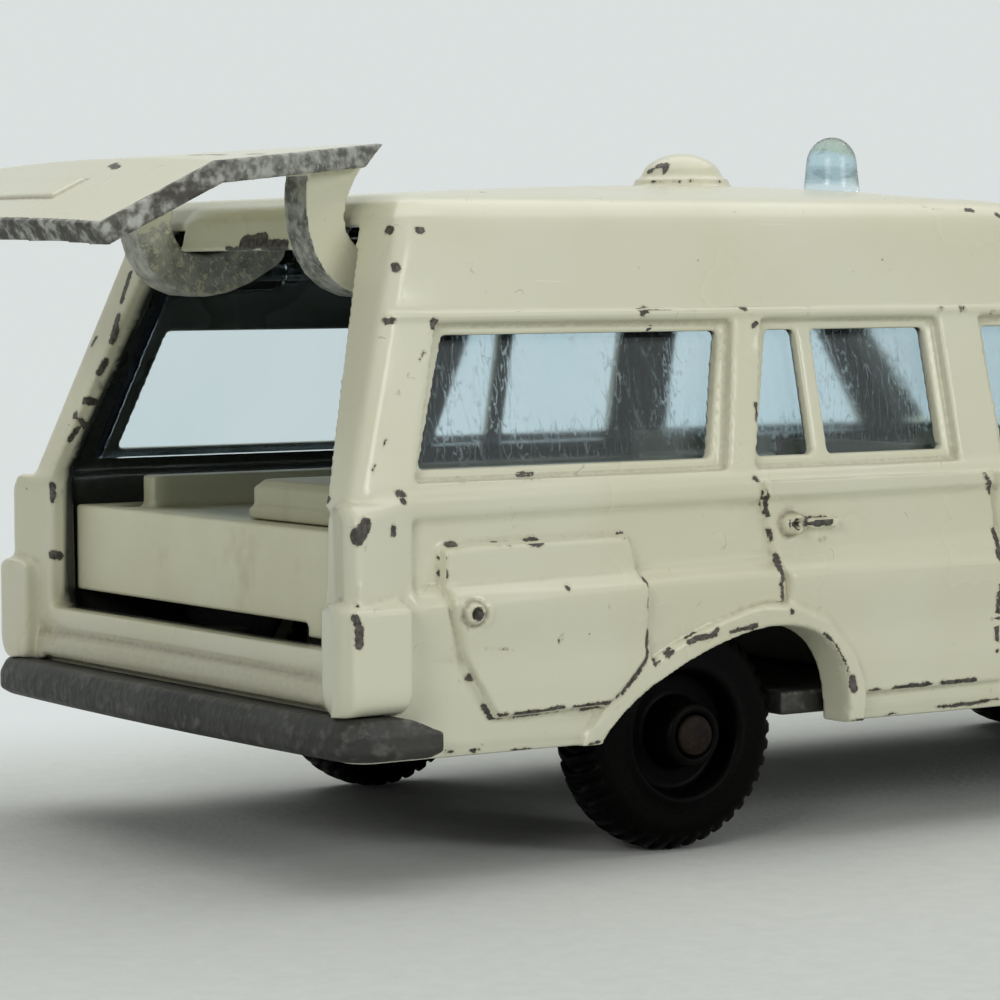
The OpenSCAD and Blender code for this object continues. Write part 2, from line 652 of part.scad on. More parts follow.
module bumper() {
    difference() {
        loft([bumper_ring(bumper_low_z, bumper_bevel, bumper_wrap - bumper_bevel),
              bumper_ring(bumper_low_z + bumper_bevel, 0, bumper_wrap),
              bumper_ring(bumper_low_z + bumper_h * bumper_rise_shares[0], 0, bumper_wrap),
              bumper_ring(bumper_low_z + bumper_h - bumper_bevel / 2, bumper_bevel / 2, bumper_wrap * bumper_rise_shares[1]),
              bumper_ring(bumper_low_z + bumper_h, bumper_bevel, bumper_wrap * bumper_rise_shares[2])]);
        translate([0, 0, bumper_low_z - cut]) linear_extrude(height = bumper_h + 2 * cut)
            polygon(plan(tail_low_x + ledge_step - loose, length, side_half + loose, corner_r, nose_r));
    }
}

// Base plate with axle bearings, wheel cut-outs, rivet holes and both bumpers
base_half = sill_half - wall - loose;
bearing_w = 2;
bearing_l = 3.4;
bearing_top = 1.3;
bearing_low = 0.7;
bearing_y = wheel_y - tyre_w / 2 - gate_gap - bearing_w;
wheel_room = 0.6;
module base_plate() {
    color("dimgray") {
        difference() {
            union() {
                translate([0, 0, base_z]) linear_extrude(height = base_t)
                    polygon(plan(tail_low_x + ledge_step + wall + loose, nose_x - sill_in - wall - loose,
                                 base_half, corner_r, nose_r));
                translate([bumper_t, -tongue_half, base_z])
                    cube([length - 2 * bumper_t, 2 * tongue_half, base_t]);
                for (x = [rear_axle_x, front_axle_x]) for (s = [-1, 1])
                    translate([x - bearing_l / 2, min(s * bearing_y, s * (bearing_y + bearing_w)), axle_z - axle_r - bearing_low])
                        cube([bearing_l, bearing_w, 2 * axle_r + bearing_low + bearing_top]);
            }
            for (x = [rear_axle_x, front_axle_x]) {
                for (s = [-1, 1])
                    translate([x - wheel_r - wheel_room, s > 0 ? bearing_y + bearing_w : -across_w, base_z - cut])
                        cube([2 * (wheel_r + wheel_room), across_w - bearing_y - bearing_w, base_t + 2 * cut]);
                translate([x - axle_r - wheel_room, -bearing_y, base_z - cut])
                    cube([2 * (axle_r + wheel_room), 2 * bearing_y, base_t + 2 * cut]);
                translate([x, 0, axle_z]) rotate([90, 0, 0])
                    cylinder(r = axle_r + running, h = across_w, center = true, $fn = arc_fn);
            }
            for (x = post_x) translate([x, 0, base_z - cut]) {
                cylinder(r = post_r + running, h = base_t + 2 * cut, $fn = arc_fn);
                cylinder(r = post_head_r + running, h = cut + post_head_t + running, $fn = arc_fn);
            }
        }
        bumper();
        translate([length, 0, 0]) mirror([1, 0, 0]) bumper();
    }
}

// Axle with a riveted head in each hub
hub_reach = 0.7;
head_r = 0.85;
head_t = 0.4;
head_y = wheel_y + tyre_w / 2 + hub_reach - head_t / 2;
module axle(x) {
    color("saddlebrown") translate([x, 0, axle_z]) rotate([90, 0, 0]) {
        cylinder(r = axle_r, h = 2 * head_y, center = true, $fn = arc_fn);
        for (s = [-1, 1]) translate([0, 0, s * (head_y + head_t / 2)])
            cylinder(r = head_r, h = head_t, center = true, $fn = arc_fn);
    }
}
module front_axle() { axle(front_axle_x); }
module rear_axle() { axle(rear_axle_x); }

// Wheel: a dished plastic moulding with a rim lip, a hub tube and a blocked tread
tread_d = 0.22;
hub_r = 1.35;
rim_r = 2.9;
rim_lip = 0.15;
dish_d = 1;
head_room = head_r + 2 * running;
tyre_in_shares = [[0.72, -1], [0.93, -0.85], [0.985, -0.45]];
tyre_out_shares = [[1, 0], [0.985, 0.45], [0.93, 0.82], [0.82, 1]];
tread_shares = [[0, 0], [0.08, 1], [0.5, 1], [0.58, 0]];
tread_over = 0.01;
function wheel_profile() =
    let (h = tyre_w / 2, o = h + hub_reach)
    concat([[axle_r + running, -h]],
           [for (p = concat(tyre_in_shares, tyre_out_shares)) [wheel_r * p[0], h * p[1]]],
           [[rim_r + rim_lip, h], [rim_r, h + rim_lip], [rim_r - rim_lip, h + rim_lip],
            [rim_r - 2 * rim_lip, h - rim_lip], [rim_r - 3 * rim_lip, h - dish_d], [hub_r + rim_lip, h - dish_d],
            [hub_r, o - rim_lip], [hub_r - rim_lip, o], [head_room, o],
            [head_room, o - head_t / 2 - running], [axle_r + running, o - head_t / 2 - running]]);
module wheel(x, side) {
    color("black") translate([x, side * wheel_y, axle_z]) rotate([-90 * side, 0, 0]) intersection() {
        rotate_extrude($fn = arc_fn) polygon(wheel_profile());
        translate([0, 0, -tyre_w]) linear_extrude(height = 2 * tyre_w)
            polygon([for (i = [0 : tread_count - 1]) for (k = tread_shares)
                let (a = 360 * (i + k[0]) / tread_count, r = wheel_r - tread_d * (1 - k[1]))
                (r + tread_over) * [cos(a), sin(a)]]);
    }
}
module wheel_front_left() { wheel(front_axle_x, 1); }
module wheel_front_right() { wheel(front_axle_x, -1); }
module wheel_rear_left() { wheel(rear_axle_x, 1); }
module wheel_rear_right() { wheel(rear_axle_x, -1); }

// Glazing: one blue moulding inside the roof, with keepers under the trunnions and the beacon on top
pane_in = wall + loose;
pane_low_z = window_low_z - surround;
pane_tail_gap = 2.1;
ceiling_back = 2.8;
ceiling_x = hinge_x + ceiling_back;
ceiling_drop = 2;
ceiling_low_z = shoulder_z - ceiling_drop;
keeper_t = 0.8;
keeper_z = hinge_z - hinge_r - loose - keeper_t;
beacon_taper = 0.12;
module glazing() {
    color("lightsteelblue") {
        union() {
            difference() {
                upper_skin(pane_in, pane_low_z);
                upper_skin(pane_in + glass_t, pane_low_z - cut);
                across([[0, pane_low_z - cut], [tail_at(pane_low_z - cut) + pane_tail_gap, pane_low_z - cut],
                        [tail_at(roof_z) + pane_tail_gap, roof_z], [0, roof_z]], across_w);
                translate([0, -across_w / 2, ceiling_low_z]) cube([ceiling_x, across_w, roof_z]);
            }
            intersection() {
                for (s = [-1, 1]) {
                    y = min(s * (lug_y + loose), s * (lug_y + lug_t));
                    translate([hinge_x - lug_half, y, keeper_z])
                        cube([ceiling_x + keeper_t - hinge_x + lug_half, lug_t - loose, keeper_t]);
                    translate([ceiling_x, y, keeper_z]) cube([keeper_t, lug_t - loose, roof_z - keeper_z]);
                }
                upper_skin(pane_in + glass_t / 2, belt_z);
            }
            translate([beacon_x, 0, 0]) rotate_extrude($fn = arc_fn)
                polygon(concat([[0, crown_z - wall - loose - glass_t / 2], [beacon_r, crown_z - wall - loose - glass_t / 2],
                                [beacon_r, roof_z]],
                        [for (a = [0 : 10 : 90])
                            [(beacon_r - beacon_taper) * cos(a), roof_z + beacon_h - beacon_r * (1 - sin(a))]]));
        }
    }
}

// Interior: bed deck with a tail wall, a partition, a bulkhead, the cab floor, seats, dash and wheel
deck_tail_x = tail_low_x + ledge_step + wall + loose;
deck_half = waist_half - wall - 2 * loose;
bulkhead_back = 3;
bulkhead_x = front_door_x - bulkhead_back;
skirt_z = 10.1;
skirt_step = 0.55;
skirt_step_y = 8;
cab_floor_z = base_z + base_t + loose;
cab_front_x = cowl_x - bumper_reach;
bench_y = 8.4;
bench_tail = 1.75;
peg_r = 1.2;
peg_y = 5;
seat_l = 5.5;
seat_h = 3.6;
seat_w = 9;
seat_y = 5.9;
back_t = 1.7;
back_top_z = belt_z + belt_h;
dash_l = 2.2;
dash_h = 2.6;
dash_drop = 1;
dash_side = 2.1;
dash_half = base_half - dash_side;
dash_z = belt_z - dash_h - dash_drop;
steer_r = 2;
steer_t = 0.45;
steer_tilt = 55;
module seat(y) {
    translate([bulkhead_x + inner_t + loose, y - seat_w / 2, cab_floor_z]) {
        cube([seat_l + back_t, seat_w, seat_h]);
        cube([back_t, seat_w, back_top_z - cab_floor_z]);
    }
}
module interior() {
    color("white") union() {
        union() {
            translate([deck_tail_x, -deck_half, deck_z - inner_t])
                cube([bulkhead_x + inner_t - deck_tail_x, deck_half + bench_y + inner_t, inner_t]);
            translate([deck_tail_x, -deck_half, skirt_z]) cube([inner_t, 2 * deck_half, deck_z - skirt_z]);
            translate([deck_tail_x, -deck_half, skirt_z - skirt_step])
                cube([inner_t, deck_half - skirt_step_y, deck_z - skirt_z]);
            for (s = [-1, 1]) translate([deck_tail_x, s > 0 ? deck_half - inner_t : -deck_half, wheel_r * 2 + wheel_room])
                cube([bulkhead_x - deck_tail_x, inner_t, deck_z - wheel_r * 2 - wheel_room]);
            translate([deck_tail_x + bench_tail, bench_y, deck_z - inner_t])
                cube([bulkhead_x - deck_tail_x - bench_tail, inner_t, bench_h + inner_t]);
            translate([bulkhead_x, -deck_half, cab_floor_z]) cube([inner_t, 2 * deck_half, deck_z - cab_floor_z]);
            translate([bulkhead_x, -base_half, cab_floor_z]) cube([cab_front_x - bulkhead_x, 2 * base_half, inner_t]);
            for (s = [-1, 1]) {
                translate([rear_axle_x - wheel_r - peg_r, s * peg_y, cab_floor_z])
                    cylinder(r = peg_r, h = deck_z - cab_floor_z - inner_t / 2, $fn = arc_fn);
                seat(s * seat_y);
            }
            translate([cab_front_x - dash_l, -dash_half, dash_z]) cube([dash_l, 2 * dash_half, dash_h]);
            translate([cab_front_x - inner_t, -base_half, cab_floor_z]) cube([inner_t, 2 * base_half, dash_z - cab_floor_z + inner_t]);
            translate([cab_front_x - dash_l, seat_y, dash_z + dash_h / 2]) rotate([0, -steer_tilt, 0]) {
                cylinder(r = steer_t, h = dash_l, $fn = arc_fn);
                translate([0, 0, dash_l]) cylinder(r = steer_r, h = steer_t, $fn = arc_fn);
            }
        }
    }
}

// Stretcher: a tray with a blanketed mattress and a pillow, lifted out over the tail
tray_t = 0.45;
tray_r = 0.8;
tray_tail = 1.1;
tray_y = -4.6;
mattress_in = 0.15;
mattress_h = 1.2;
mattress_bevel = 0.35;
pillow_l = 4;
pillow_h = 0.5;
module stretcher() {
    x0 = deck_tail_x + tray_tail;
    h = stretcher_w / 2;
    color("whitesmoke") translate([0, tray_y, deck_z + running]) {
        linear_extrude(height = tray_t) polygon(plan(x0, x0 + stretcher_l, h, tray_r, tray_r));
        loft([ring(tray_t / 2, 0, x0 + mattress_in, x0 + stretcher_l - mattress_in, h - mattress_in, tray_r, tray_r),
              ring(tray_t + mattress_h - mattress_bevel, 0, x0 + mattress_in, x0 + stretcher_l - mattress_in,
                   h - mattress_in, tray_r, tray_r),
              ring(tray_t + mattress_h, 0, x0 + mattress_in + mattress_bevel,
                   x0 + stretcher_l - mattress_in - mattress_bevel, h - mattress_in - mattress_bevel, tray_r, tray_r)]);
        translate([x0 + stretcher_l - mattress_in - mattress_bevel - pillow_l, 0, tray_t + mattress_h / 2])
            linear_extrude(height = mattress_h / 2 + pillow_h)
                polygon(plan(0, pillow_l, h - mattress_in - 2 * mattress_bevel, tray_r, tray_r));
    }
}

module placed() { translate([-mid_x, 0, 0]) children(); }
placed() body_shell();
placed() base_plate();
placed() glazing();
placed() interior();
placed() stretcher();
placed() tailgate();
placed() front_axle();
placed() rear_axle();
placed() wheel_front_left();
placed() wheel_front_right();
placed() wheel_rear_left();
placed() wheel_rear_right();
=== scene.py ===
"""Toy ambulance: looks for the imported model, in metres, in the model's own frame."""
import math

import bmesh
import bpy
import numpy as np
from mathutils import Matrix, Vector


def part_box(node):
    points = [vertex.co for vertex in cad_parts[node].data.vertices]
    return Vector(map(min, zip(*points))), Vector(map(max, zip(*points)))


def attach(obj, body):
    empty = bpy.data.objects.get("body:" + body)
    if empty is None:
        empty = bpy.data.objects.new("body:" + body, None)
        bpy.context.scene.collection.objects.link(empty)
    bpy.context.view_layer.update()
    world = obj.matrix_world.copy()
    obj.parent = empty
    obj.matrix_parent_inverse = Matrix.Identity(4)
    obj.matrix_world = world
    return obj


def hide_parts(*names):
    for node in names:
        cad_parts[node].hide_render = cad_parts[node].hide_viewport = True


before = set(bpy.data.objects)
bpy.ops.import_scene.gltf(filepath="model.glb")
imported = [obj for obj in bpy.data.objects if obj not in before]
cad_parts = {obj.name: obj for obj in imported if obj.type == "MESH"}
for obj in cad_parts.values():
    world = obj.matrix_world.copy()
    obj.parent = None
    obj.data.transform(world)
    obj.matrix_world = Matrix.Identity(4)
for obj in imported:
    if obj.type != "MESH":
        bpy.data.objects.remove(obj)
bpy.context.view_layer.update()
scene = bpy.context.scene
scene.view_settings.view_transform = "Standard"
MM = 0.001

# Camera: a long lens close to the rear corner of the toy, a little above the middle of its side.
# Its place and turn come from matching the toy's own sizes to the picture.
camera_yaw, camera_pitch, camera_roll = (math.radians(a) for a in (33.58, -3.56, -0.31))
ahead = Vector((math.sin(camera_yaw) * math.cos(camera_pitch),
                math.cos(camera_yaw) * math.cos(camera_pitch), math.sin(camera_pitch)))
level = Vector((math.cos(camera_yaw), -math.sin(camera_yaw), 0))
upright = level.cross(ahead)
camera_right = level * math.cos(camera_roll) + upright * math.sin(camera_roll)
camera_up = upright * math.cos(camera_roll) - level * math.sin(camera_roll)
lens = bpy.data.cameras.new("camera")
lens.lens, lens.sensor_width = 131.22, 36
lens.clip_start, lens.clip_end = 0.01, 20
camera = bpy.data.objects.new("camera", lens)
camera.matrix_world = Matrix((camera_right, camera_up, -ahead)).transposed().to_4x4()
camera.location = Vector((-104.3427, -135.27, 24.28)) * MM
scene.collection.objects.link(camera)
scene.camera = camera


# Studio: one pale sheet lies under the toy and sweeps up behind it, under a white room with soft boxes.
# Near the toy the sheet is matt and takes its shadow.
# Further off, and behind the toy, it goes over to the even pale grey of the room.
def put(tree, kind, inputs=None, **settings):
    """New node of that kind with its settings, and each input set to a value or linked to a socket."""
    made = tree.nodes.new(kind)
    for name, value in settings.items():
        setattr(made, name, value)
    for name, value in (inputs or {}).items():
        if isinstance(value, bpy.types.NodeSocket):
            tree.links.new(value, made.inputs[name])
        else:
            made.inputs[name].default_value = value
    return made


def between(tree, share, first, second):
    """Colour that goes from the first to the second by a share."""
    return put(tree, "ShaderNodeMix", {0: share, 6: first, 7: second}, data_type="RGBA").outputs[2]


def calc(tree, operation, *values):
    """Result of one sum on one, two or three values."""
    return put(tree, "ShaderNodeMath", dict(enumerate(values)), operation=operation).outputs[0]


def rise_from(tree, value, low, high):
    """Smooth step that is 0 below the low value and 1 above the high one."""
    return put(tree, "ShaderNodeMapRange", {"Value": value, "From Min": low, "From Max": high},
               interpolation_type="SMOOTHSTEP").outputs["Result"]


def in_mm(tree, stretch=(1, 1, 1)):
    """Object coordinates in millimetres, each axis times its stretch."""
    place = put(tree, "ShaderNodeTexCoord").outputs["Object"]
    scale = tuple(s / MM for s in stretch)
    return put(tree, "ShaderNodeMapping", {"Vector": place, "Scale": scale}).outputs[0]


def cloud(tree, where, per_mm, detail=2.0):
    """Noise from 0 to 1 with that many waves in a millimetre."""
    noise = put(tree, "ShaderNodeTexNoise", {"Vector": where, "Scale": per_mm, "Detail": detail})
    return noise.outputs["Fac"]


def new_material(name):
    """Empty node material and its output node."""
    material = bpy.data.materials.new(name)
    material.use_nodes = True
    material.node_tree.nodes.clear()
    return material, material.node_tree, put(material.node_tree, "ShaderNodeOutputMaterial")


def grid_faces(rows, columns, closed_rows=False, closed_columns=False):
    """Quads of a grid of points in rows; a closed direction joins its last line to its first."""
    i = np.arange(rows if closed_rows else rows - 1)[:, None]
    j = np.arange(columns if closed_columns else columns - 1)[None, :]
    k, m = (i + 1) % rows, (j + 1) % columns
    return np.stack([i * columns + j, i * columns + m, k * columns + m, k * columns + j], -1).reshape(-1, 4)


def mesh_piece(name, points_mm, faces, material):
    """Smooth shaded object at the origin from points in millimetres."""
    mesh = bpy.data.meshes.new(name)
    mesh.from_pydata((np.asarray(points_mm) * MM).tolist(), [], np.asarray(faces).tolist())
    mesh.polygons.foreach_set("use_smooth", np.ones(len(mesh.polygons), bool))
    mesh.materials.append(material)
    made = bpy.data.objects.new(name, mesh)
    scene.collection.objects.link(made)
    return made


room_grey = (0.70, 0.745, 0.735, 1)
sheet_material, tree, shown = new_material("pale_sheet")
here = in_mm(tree)
paper = cloud(tree, here, 0.9, 3.0)
tint = between(tree, paper, (0.63, 0.66, 0.645, 1), (0.72, 0.75, 0.735, 1))
paper_bump = put(tree, "ShaderNodeBump", {
    "Height": cloud(tree, here, 2.5, 4.0), "Strength": 0.5, "Distance": 0.1 * MM})
paper_skin = put(tree, "ShaderNodeBsdfPrincipled", {
    "Base Color": tint, "Roughness": 0.8, "Specular IOR Level": 0.1,
    "Normal": paper_bump.outputs["Normal"]})
far_off = put(tree, "ShaderNodeVectorMath", {0: here, 1: (-6, 0, 0)}, operation="DISTANCE").outputs["Value"]
path = put(tree, "ShaderNodeLightPath")
direct = calc(tree, "MAXIMUM", path.outputs["Is Camera Ray"],
              calc(tree, "MAXIMUM", path.outputs["Is Glossy Ray"], path.outputs["Is Transmission Ray"]))
behind = rise_from(tree, put(tree, "ShaderNodeSeparateXYZ", {0: here}).outputs["Y"], 18.0, 46.0)
even = calc(tree, "MULTIPLY", direct, calc(tree, "MAXIMUM", behind, rise_from(tree, far_off, 42.0, 92.0)))
glow = put(tree, "ShaderNodeEmission", {"Color": room_grey, "Strength": 1.0})
sheet_mix = put(tree, "ShaderNodeMixShader", {0: even, 1: paper_skin.outputs["BSDF"], 2: glow.outputs[0]})
tree.links.new(sheet_mix.outputs[0], shown.inputs["Surface"])
t = np.linspace(0, 1, 40)
run = np.concatenate([np.linspace(-1500, 500, 30), 500 + 400 * np.sin(t * math.pi / 2), np.full(12, 900.0)])
rise = np.concatenate([np.zeros(30), 400 - 400 * np.cos(t * math.pi / 2), np.linspace(420, 1600, 12)])
away = np.array([math.sin(camera_yaw), math.cos(camera_yaw)])
aside = np.array([away[1], -away[0]])
s = np.linspace(-1800, 1800, 25)
sweep = np.stack([run[:, None] * away[0] + s[None, :] * aside[0],
                  run[:, None] * away[1] + s[None, :] * aside[1],
                  np.broadcast_to(rise[:, None], (len(run), len(s)))], -1).reshape(-1, 3)
studio_sheet = mesh_piece("studio_sheet", sweep, grid_faces(len(run), len(s)), sheet_material)

world = bpy.data.worlds.new("white_room")
scene.world = world
world.use_nodes = True
world.node_tree.nodes.clear()
tree = world.node_tree
path = put(tree, "ShaderNodeLightPath")
direct = calc(tree, "MAXIMUM", path.outputs["Is Camera Ray"],
              calc(tree, "MAXIMUM", path.outputs["Is Glossy Ray"], path.outputs["Is Transmission Ray"]))
room = put(tree, "ShaderNodeBackground", {"Color": (1.0, 1.0, 0.98, 1), "Strength": 0.2})
pale = put(tree, "ShaderNodeBackground", {"Color": room_grey, "Strength": 1.0})
mixed = put(tree, "ShaderNodeMixShader", {0: direct, 1: room.outputs[0], 2: pale.outputs[0]})
put(tree, "ShaderNodeOutputWorld", {"Surface": mixed.outputs[0]})


def soft_box(name, place_mm, aim_mm, size_mm, watts, colour):
    """Square area lamp at a place, turned to a point."""
    data = bpy.data.lights.new(name, "AREA")
    data.shape, data.size, data.size_y = "RECTANGLE", size_mm[0] * MM, size_mm[1] * MM
    data.energy, data.color = watts, colour
    lamp = bpy.data.objects.new(name, data)
    lamp.location = Vector(place_mm) * MM
    lamp.rotation_euler = (Vector(aim_mm) - Vector(place_mm)).to_track_quat("-Z", "Y").to_euler()
    scene.collection.objects.link(lamp)


soft_box("soft_box_top", (60, 80, 410), (0, 0, 10), (640, 560), 1.46, (1.0, 0.99, 0.96))
soft_box("soft_box_side", (130, -470, 190), (0, 0, 15), (170, 150), 0.6, (1.0, 0.99, 0.96))
soft_box("soft_box_tail", (-420, -280, 210), (0, 0, 15), (150, 130), 0.54, (1.0, 0.98, 0.94))


# Cast body: one thin zinc casting with roof, pillars, doors and fins, under thick glossy cream enamel.
# It is the model's own solid on an even grid, with edges as soft as thick paint leaves them.
# The enamel is chipped down to dark metal along ridges and edges, and the inside is painted near black as
# painted shade.
def cad_points(node):
    """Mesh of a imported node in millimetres, with doubles merged."""
    joined = bmesh.new()
    joined.from_mesh(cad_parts[node].data)
    bmesh.ops.scale(joined, vec=(1 / MM,) * 3, verts=joined.verts)
    bmesh.ops.remove_doubles(joined, verts=joined.verts, dist=0.0005)
    mesh = bpy.data.meshes.new("merged")
    joined.to_mesh(mesh)
    joined.free()
    return mesh


def mesh_arrays(mesh):
    """Points, point normals and edges of a mesh as arrays."""
    points = np.empty(len(mesh.vertices) * 3, np.float32)
    normals = np.empty(len(mesh.vertices) * 3, np.float32)
    mesh.vertices.foreach_get("co", points)
    mesh.vertices.foreach_get("normal", normals)
    edges = np.empty(len(mesh.edges) * 2, np.int32)
    mesh.edges.foreach_get("vertices", edges)
    return points.reshape(-1, 3).astype(float), normals.reshape(-1, 3).astype(float), edges.reshape(-1, 2)


def through_modifier(mesh, kind, **settings):
    """The mesh after one modifier."""
    holder = bpy.data.objects.new("holder", mesh)
    scene.collection.objects.link(holder)
    step = holder.modifiers.new("step", kind)
    for name, value in settings.items():
        setattr(step, name, value)
    made = bpy.data.meshes.new_from_object(holder.evaluated_get(bpy.context.evaluated_depsgraph_get()))
    bpy.data.objects.remove(holder)
    return made


def neighbour_mean(values, edges):
    """Mean of each point's neighbours along the edges, for one value or a row of values per point."""
    a, b = edges.T
    count = np.bincount(edges.ravel(), minlength=len(values))
    columns = values.reshape(len(values), -1)
    mean = np.stack([(np.bincount(a, c[b], len(values)) + np.bincount(b, c[a], len(values))) / count
                     for c in columns.T], 1)
    return mean.reshape(values.shape)


def relaxed(points, edges, rounds, where=None, back=-0.52):
    """Each point goes half way to its neighbours' mean and as far back, so edges soften and the size stays;
    with no way back wide curves soften too.
    Where a share for each point is given, only the part of the mesh with a share moves."""
    if where is None:
        used, part, weight = slice(None), edges, 1.0
    else:
        used, part = np.unique(edges[(where[edges] > 0.01).any(1)], return_inverse=True)
        part, weight = part.reshape(-1, 2), where[used][:, None]
    moved = points[used]
    for share in (0.5, back) * rounds:
        moved = moved + share * weight * (neighbour_mean(moved, part) - moved)
    points = points.copy()
    points[used] = moved
    return points


def bends(points, normals, edges, rounds):
    """Bend in 1/mm, above 0 on ridges.
    It is the drop of the neighbours below the tangent plane over half their squared distance."""
    a, b = edges.T
    step = points[b] - points[a]
    square = (step ** 2).sum(1)
    drop = (np.bincount(b, (step * normals[b]).sum(1), len(points))
            - np.bincount(a, (step * normals[a]).sum(1), len(points)))
    spread = np.bincount(a, square, len(points)) + np.bincount(b, square, len(points))
    bend = 2 * drop / np.maximum(spread, 1e-9)
    for _ in range(rounds):
        bend = 0.4 * bend + 0.6 * neighbour_mean(bend, edges)
    return bend


def capsule_gap(points, rows):
    """Distance in mm from each point to the nearest capsule (start, end, radius), below 0 inside it."""
    gap = np.full(len(points), 5.0)
    for row in np.asarray(rows, float):
        start, along = row[:3], row[3:6] - row[:3]
        share = np.clip((points - start) @ along / max(along @ along, 1e-6), 0, 1)
        gap = np.minimum(gap, np.linalg.norm(points - start - share[:, None] * along, axis=1) - row[6])
    return gap


def refined(mesh, chip_gap, finest, rounds):
    """Mesh whose edges near a chip are halved until they are short enough to carry its outline."""
    for _ in range(rounds):
        points, _, edges = mesh_arrays(mesh)
        long = np.linalg.norm(points[edges[:, 0]] - points[edges[:, 1]], axis=1)
        middle = points[edges].mean(1)
        chosen = np.flatnonzero((long > finest) & (chip_gap(middle, None) < 0.12 + 0.5 * long))
        work = bmesh.new()
        work.from_mesh(mesh)
        work.edges.ensure_lookup_table()
        bmesh.ops.subdivide_edges(work, edges=[work.edges[i] for i in chosen], cuts=1, use_grid_fill=True)
        bmesh.ops.triangulate(work, faces=work.faces)
        work.to_mesh(mesh)
        work.free()
    return mesh


def step_up(value, low, high):
    """Smooth step from 0 at the low value to 1 at the high one."""
    t = np.clip((value - low) / (high - low), 0, 1)
    return t * t * (3 - 2 * t)


def soft_piece(name, node, body, material, voxel, rounds, triangles,
               shaped=None, chip_gap=None, marks=None):
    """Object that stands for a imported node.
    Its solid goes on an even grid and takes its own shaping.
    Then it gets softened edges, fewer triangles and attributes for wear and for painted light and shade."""
    mesh = through_modifier(cad_points(node), "REMESH", mode="VOXEL", voxel_size=voxel)
    points, normals, edges = mesh_arrays(mesh)
    if shaped:
        points = shaped(points, normals, edges)
    points = relaxed(points, edges, rounds)
    mesh.vertices.foreach_set("co", points.astype(np.float32).ravel())
    mesh.update()
    bend = bends(*mesh_arrays(mesh), 4).astype(np.float32)
    mesh.attributes.new("bend", "FLOAT", "POINT").data.foreach_set("value", bend)
    corners = np.empty(len(mesh.polygons), np.int32)
    mesh.polygons.foreach_get("loop_total", corners)
    mesh = through_modifier(mesh, "DECIMATE", ratio=min(1.0, triangles / (corners - 2).sum()))
    if chip_gap:
        mesh = refined(mesh, chip_gap, 0.14, 4)
    points, normals, edges = mesh_arrays(mesh)
    bend = np.empty(len(points), np.float32)
    mesh.attributes["bend"].data.foreach_get("value", bend)
    mesh.attributes.remove(mesh.attributes["bend"])
    fields = {"ridge": step_up(bend, 0.4, 1.8), "hollow": step_up(-bend, 0.4, 1.8)}
    if chip_gap:
        fields["gap"] = chip_gap(points, normals)
    fields.update(marks(points, normals) if marks else {})
    for field, values in fields.items():
        mesh.attributes.new(field, "FLOAT", "POINT").data.foreach_set("value", values.astype(np.float32))
    mesh.vertices.foreach_set("co", (points * MM).astype(np.float32).ravel())
    mesh.polygons.foreach_set("use_smooth", np.ones(len(mesh.polygons), bool))
    mesh.materials.clear()
    mesh.materials.append(material)
    mesh.validate()
    mesh.name = name
    made = bpy.data.objects.new(name, mesh)
    scene.collection.objects.link(made)
    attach(made, body)
    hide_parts(node)
    return made


def new_group(name, inputs, outputs):
    """Empty node group with those value inputs (name, start value) and outputs (name, kind).
    Its two end nodes come with it."""
    group = bpy.data.node_groups.new(name, "ShaderNodeTree")
    for title, value in inputs:
        socket = group.interface.new_socket(title, in_out="INPUT", socket_type="NodeSocketFloat")
        socket.default_value = value
    for title, kind in outputs:
        group.interface.new_socket(title, in_out="OUTPUT", socket_type="NodeSocket" + kind)
    return group, put(group, "NodeGroupInput"), put(group, "NodeGroupOutput")


def link_out(group, end, **values):
    """Links each value to the group output of that name."""
    for title, value in values.items():
        group.links.new(value, end.inputs[title])


# Worn away: where a coat is gone, from the gap to a chip, the ridge and two noises.
worn_away, start, end = new_group("worn_away", [("Gap", 5.0), ("Ridge", 0.0), ("Amount", 0.5)],
                                  [("Mask", "Float"), ("Rim", "Float")])
here = in_mm(worn_away)
crumb, patch = cloud(worn_away, here, 7.0, 3.0), cloud(worn_away, here, 1.6, 3.0)
spread = cloud(worn_away, here, 0.22, 2.0)
ragged = calc(worn_away, "MULTIPLY_ADD", crumb, 0.2, calc(worn_away, "MULTIPLY_ADD", patch, 0.22, -0.21))
chip_gap = calc(worn_away, "ADD", start.outputs["Gap"], ragged)
knock = calc(worn_away, "MULTIPLY", start.outputs["Ridge"],
             calc(worn_away, "MULTIPLY_ADD", spread, 0.55, calc(worn_away, "MULTIPLY", patch, 0.75)))
knock = calc(worn_away, "MULTIPLY_ADD", crumb, 0.25, knock)
limit = calc(worn_away, "SUBTRACT", 1.35, start.outputs["Amount"])
knock_gap = calc(worn_away, "MULTIPLY", calc(worn_away, "SUBTRACT", limit, knock), 0.8)
least = calc(worn_away, "MINIMUM", chip_gap, knock_gap)
link_out(worn_away, end, Mask=calc(worn_away, "SUBTRACT", 1.0, rise_from(worn_away, least, -0.015, 0.02)),
         Rim=calc(worn_away, "SUBTRACT", 1.0, rise_from(worn_away, least, -0.05, 0.12)))

# Mottle: slow and quick changes of tone in a surface, with a fine orange-peel skin.
mottle, start, end = new_group("mottle", [("Broad", 0.12), ("Fine", 4.0)],
                               [("Slow", "Float"), ("Quick", "Float"), ("Skin", "Float")])
here = in_mm(mottle)
link_out(mottle, end, Slow=rise_from(mottle, cloud(mottle, here, start.outputs["Broad"], 3.0), 0.3, 0.7),
         Quick=cloud(mottle, here, start.outputs["Fine"], 4.0), Skin=cloud(mottle, here, 2.2, 1.0))


def field(tree, name):
    """Value of a mesh attribute."""
    return put(tree, "ShaderNodeAttribute", attribute_name=name).outputs["Fac"]


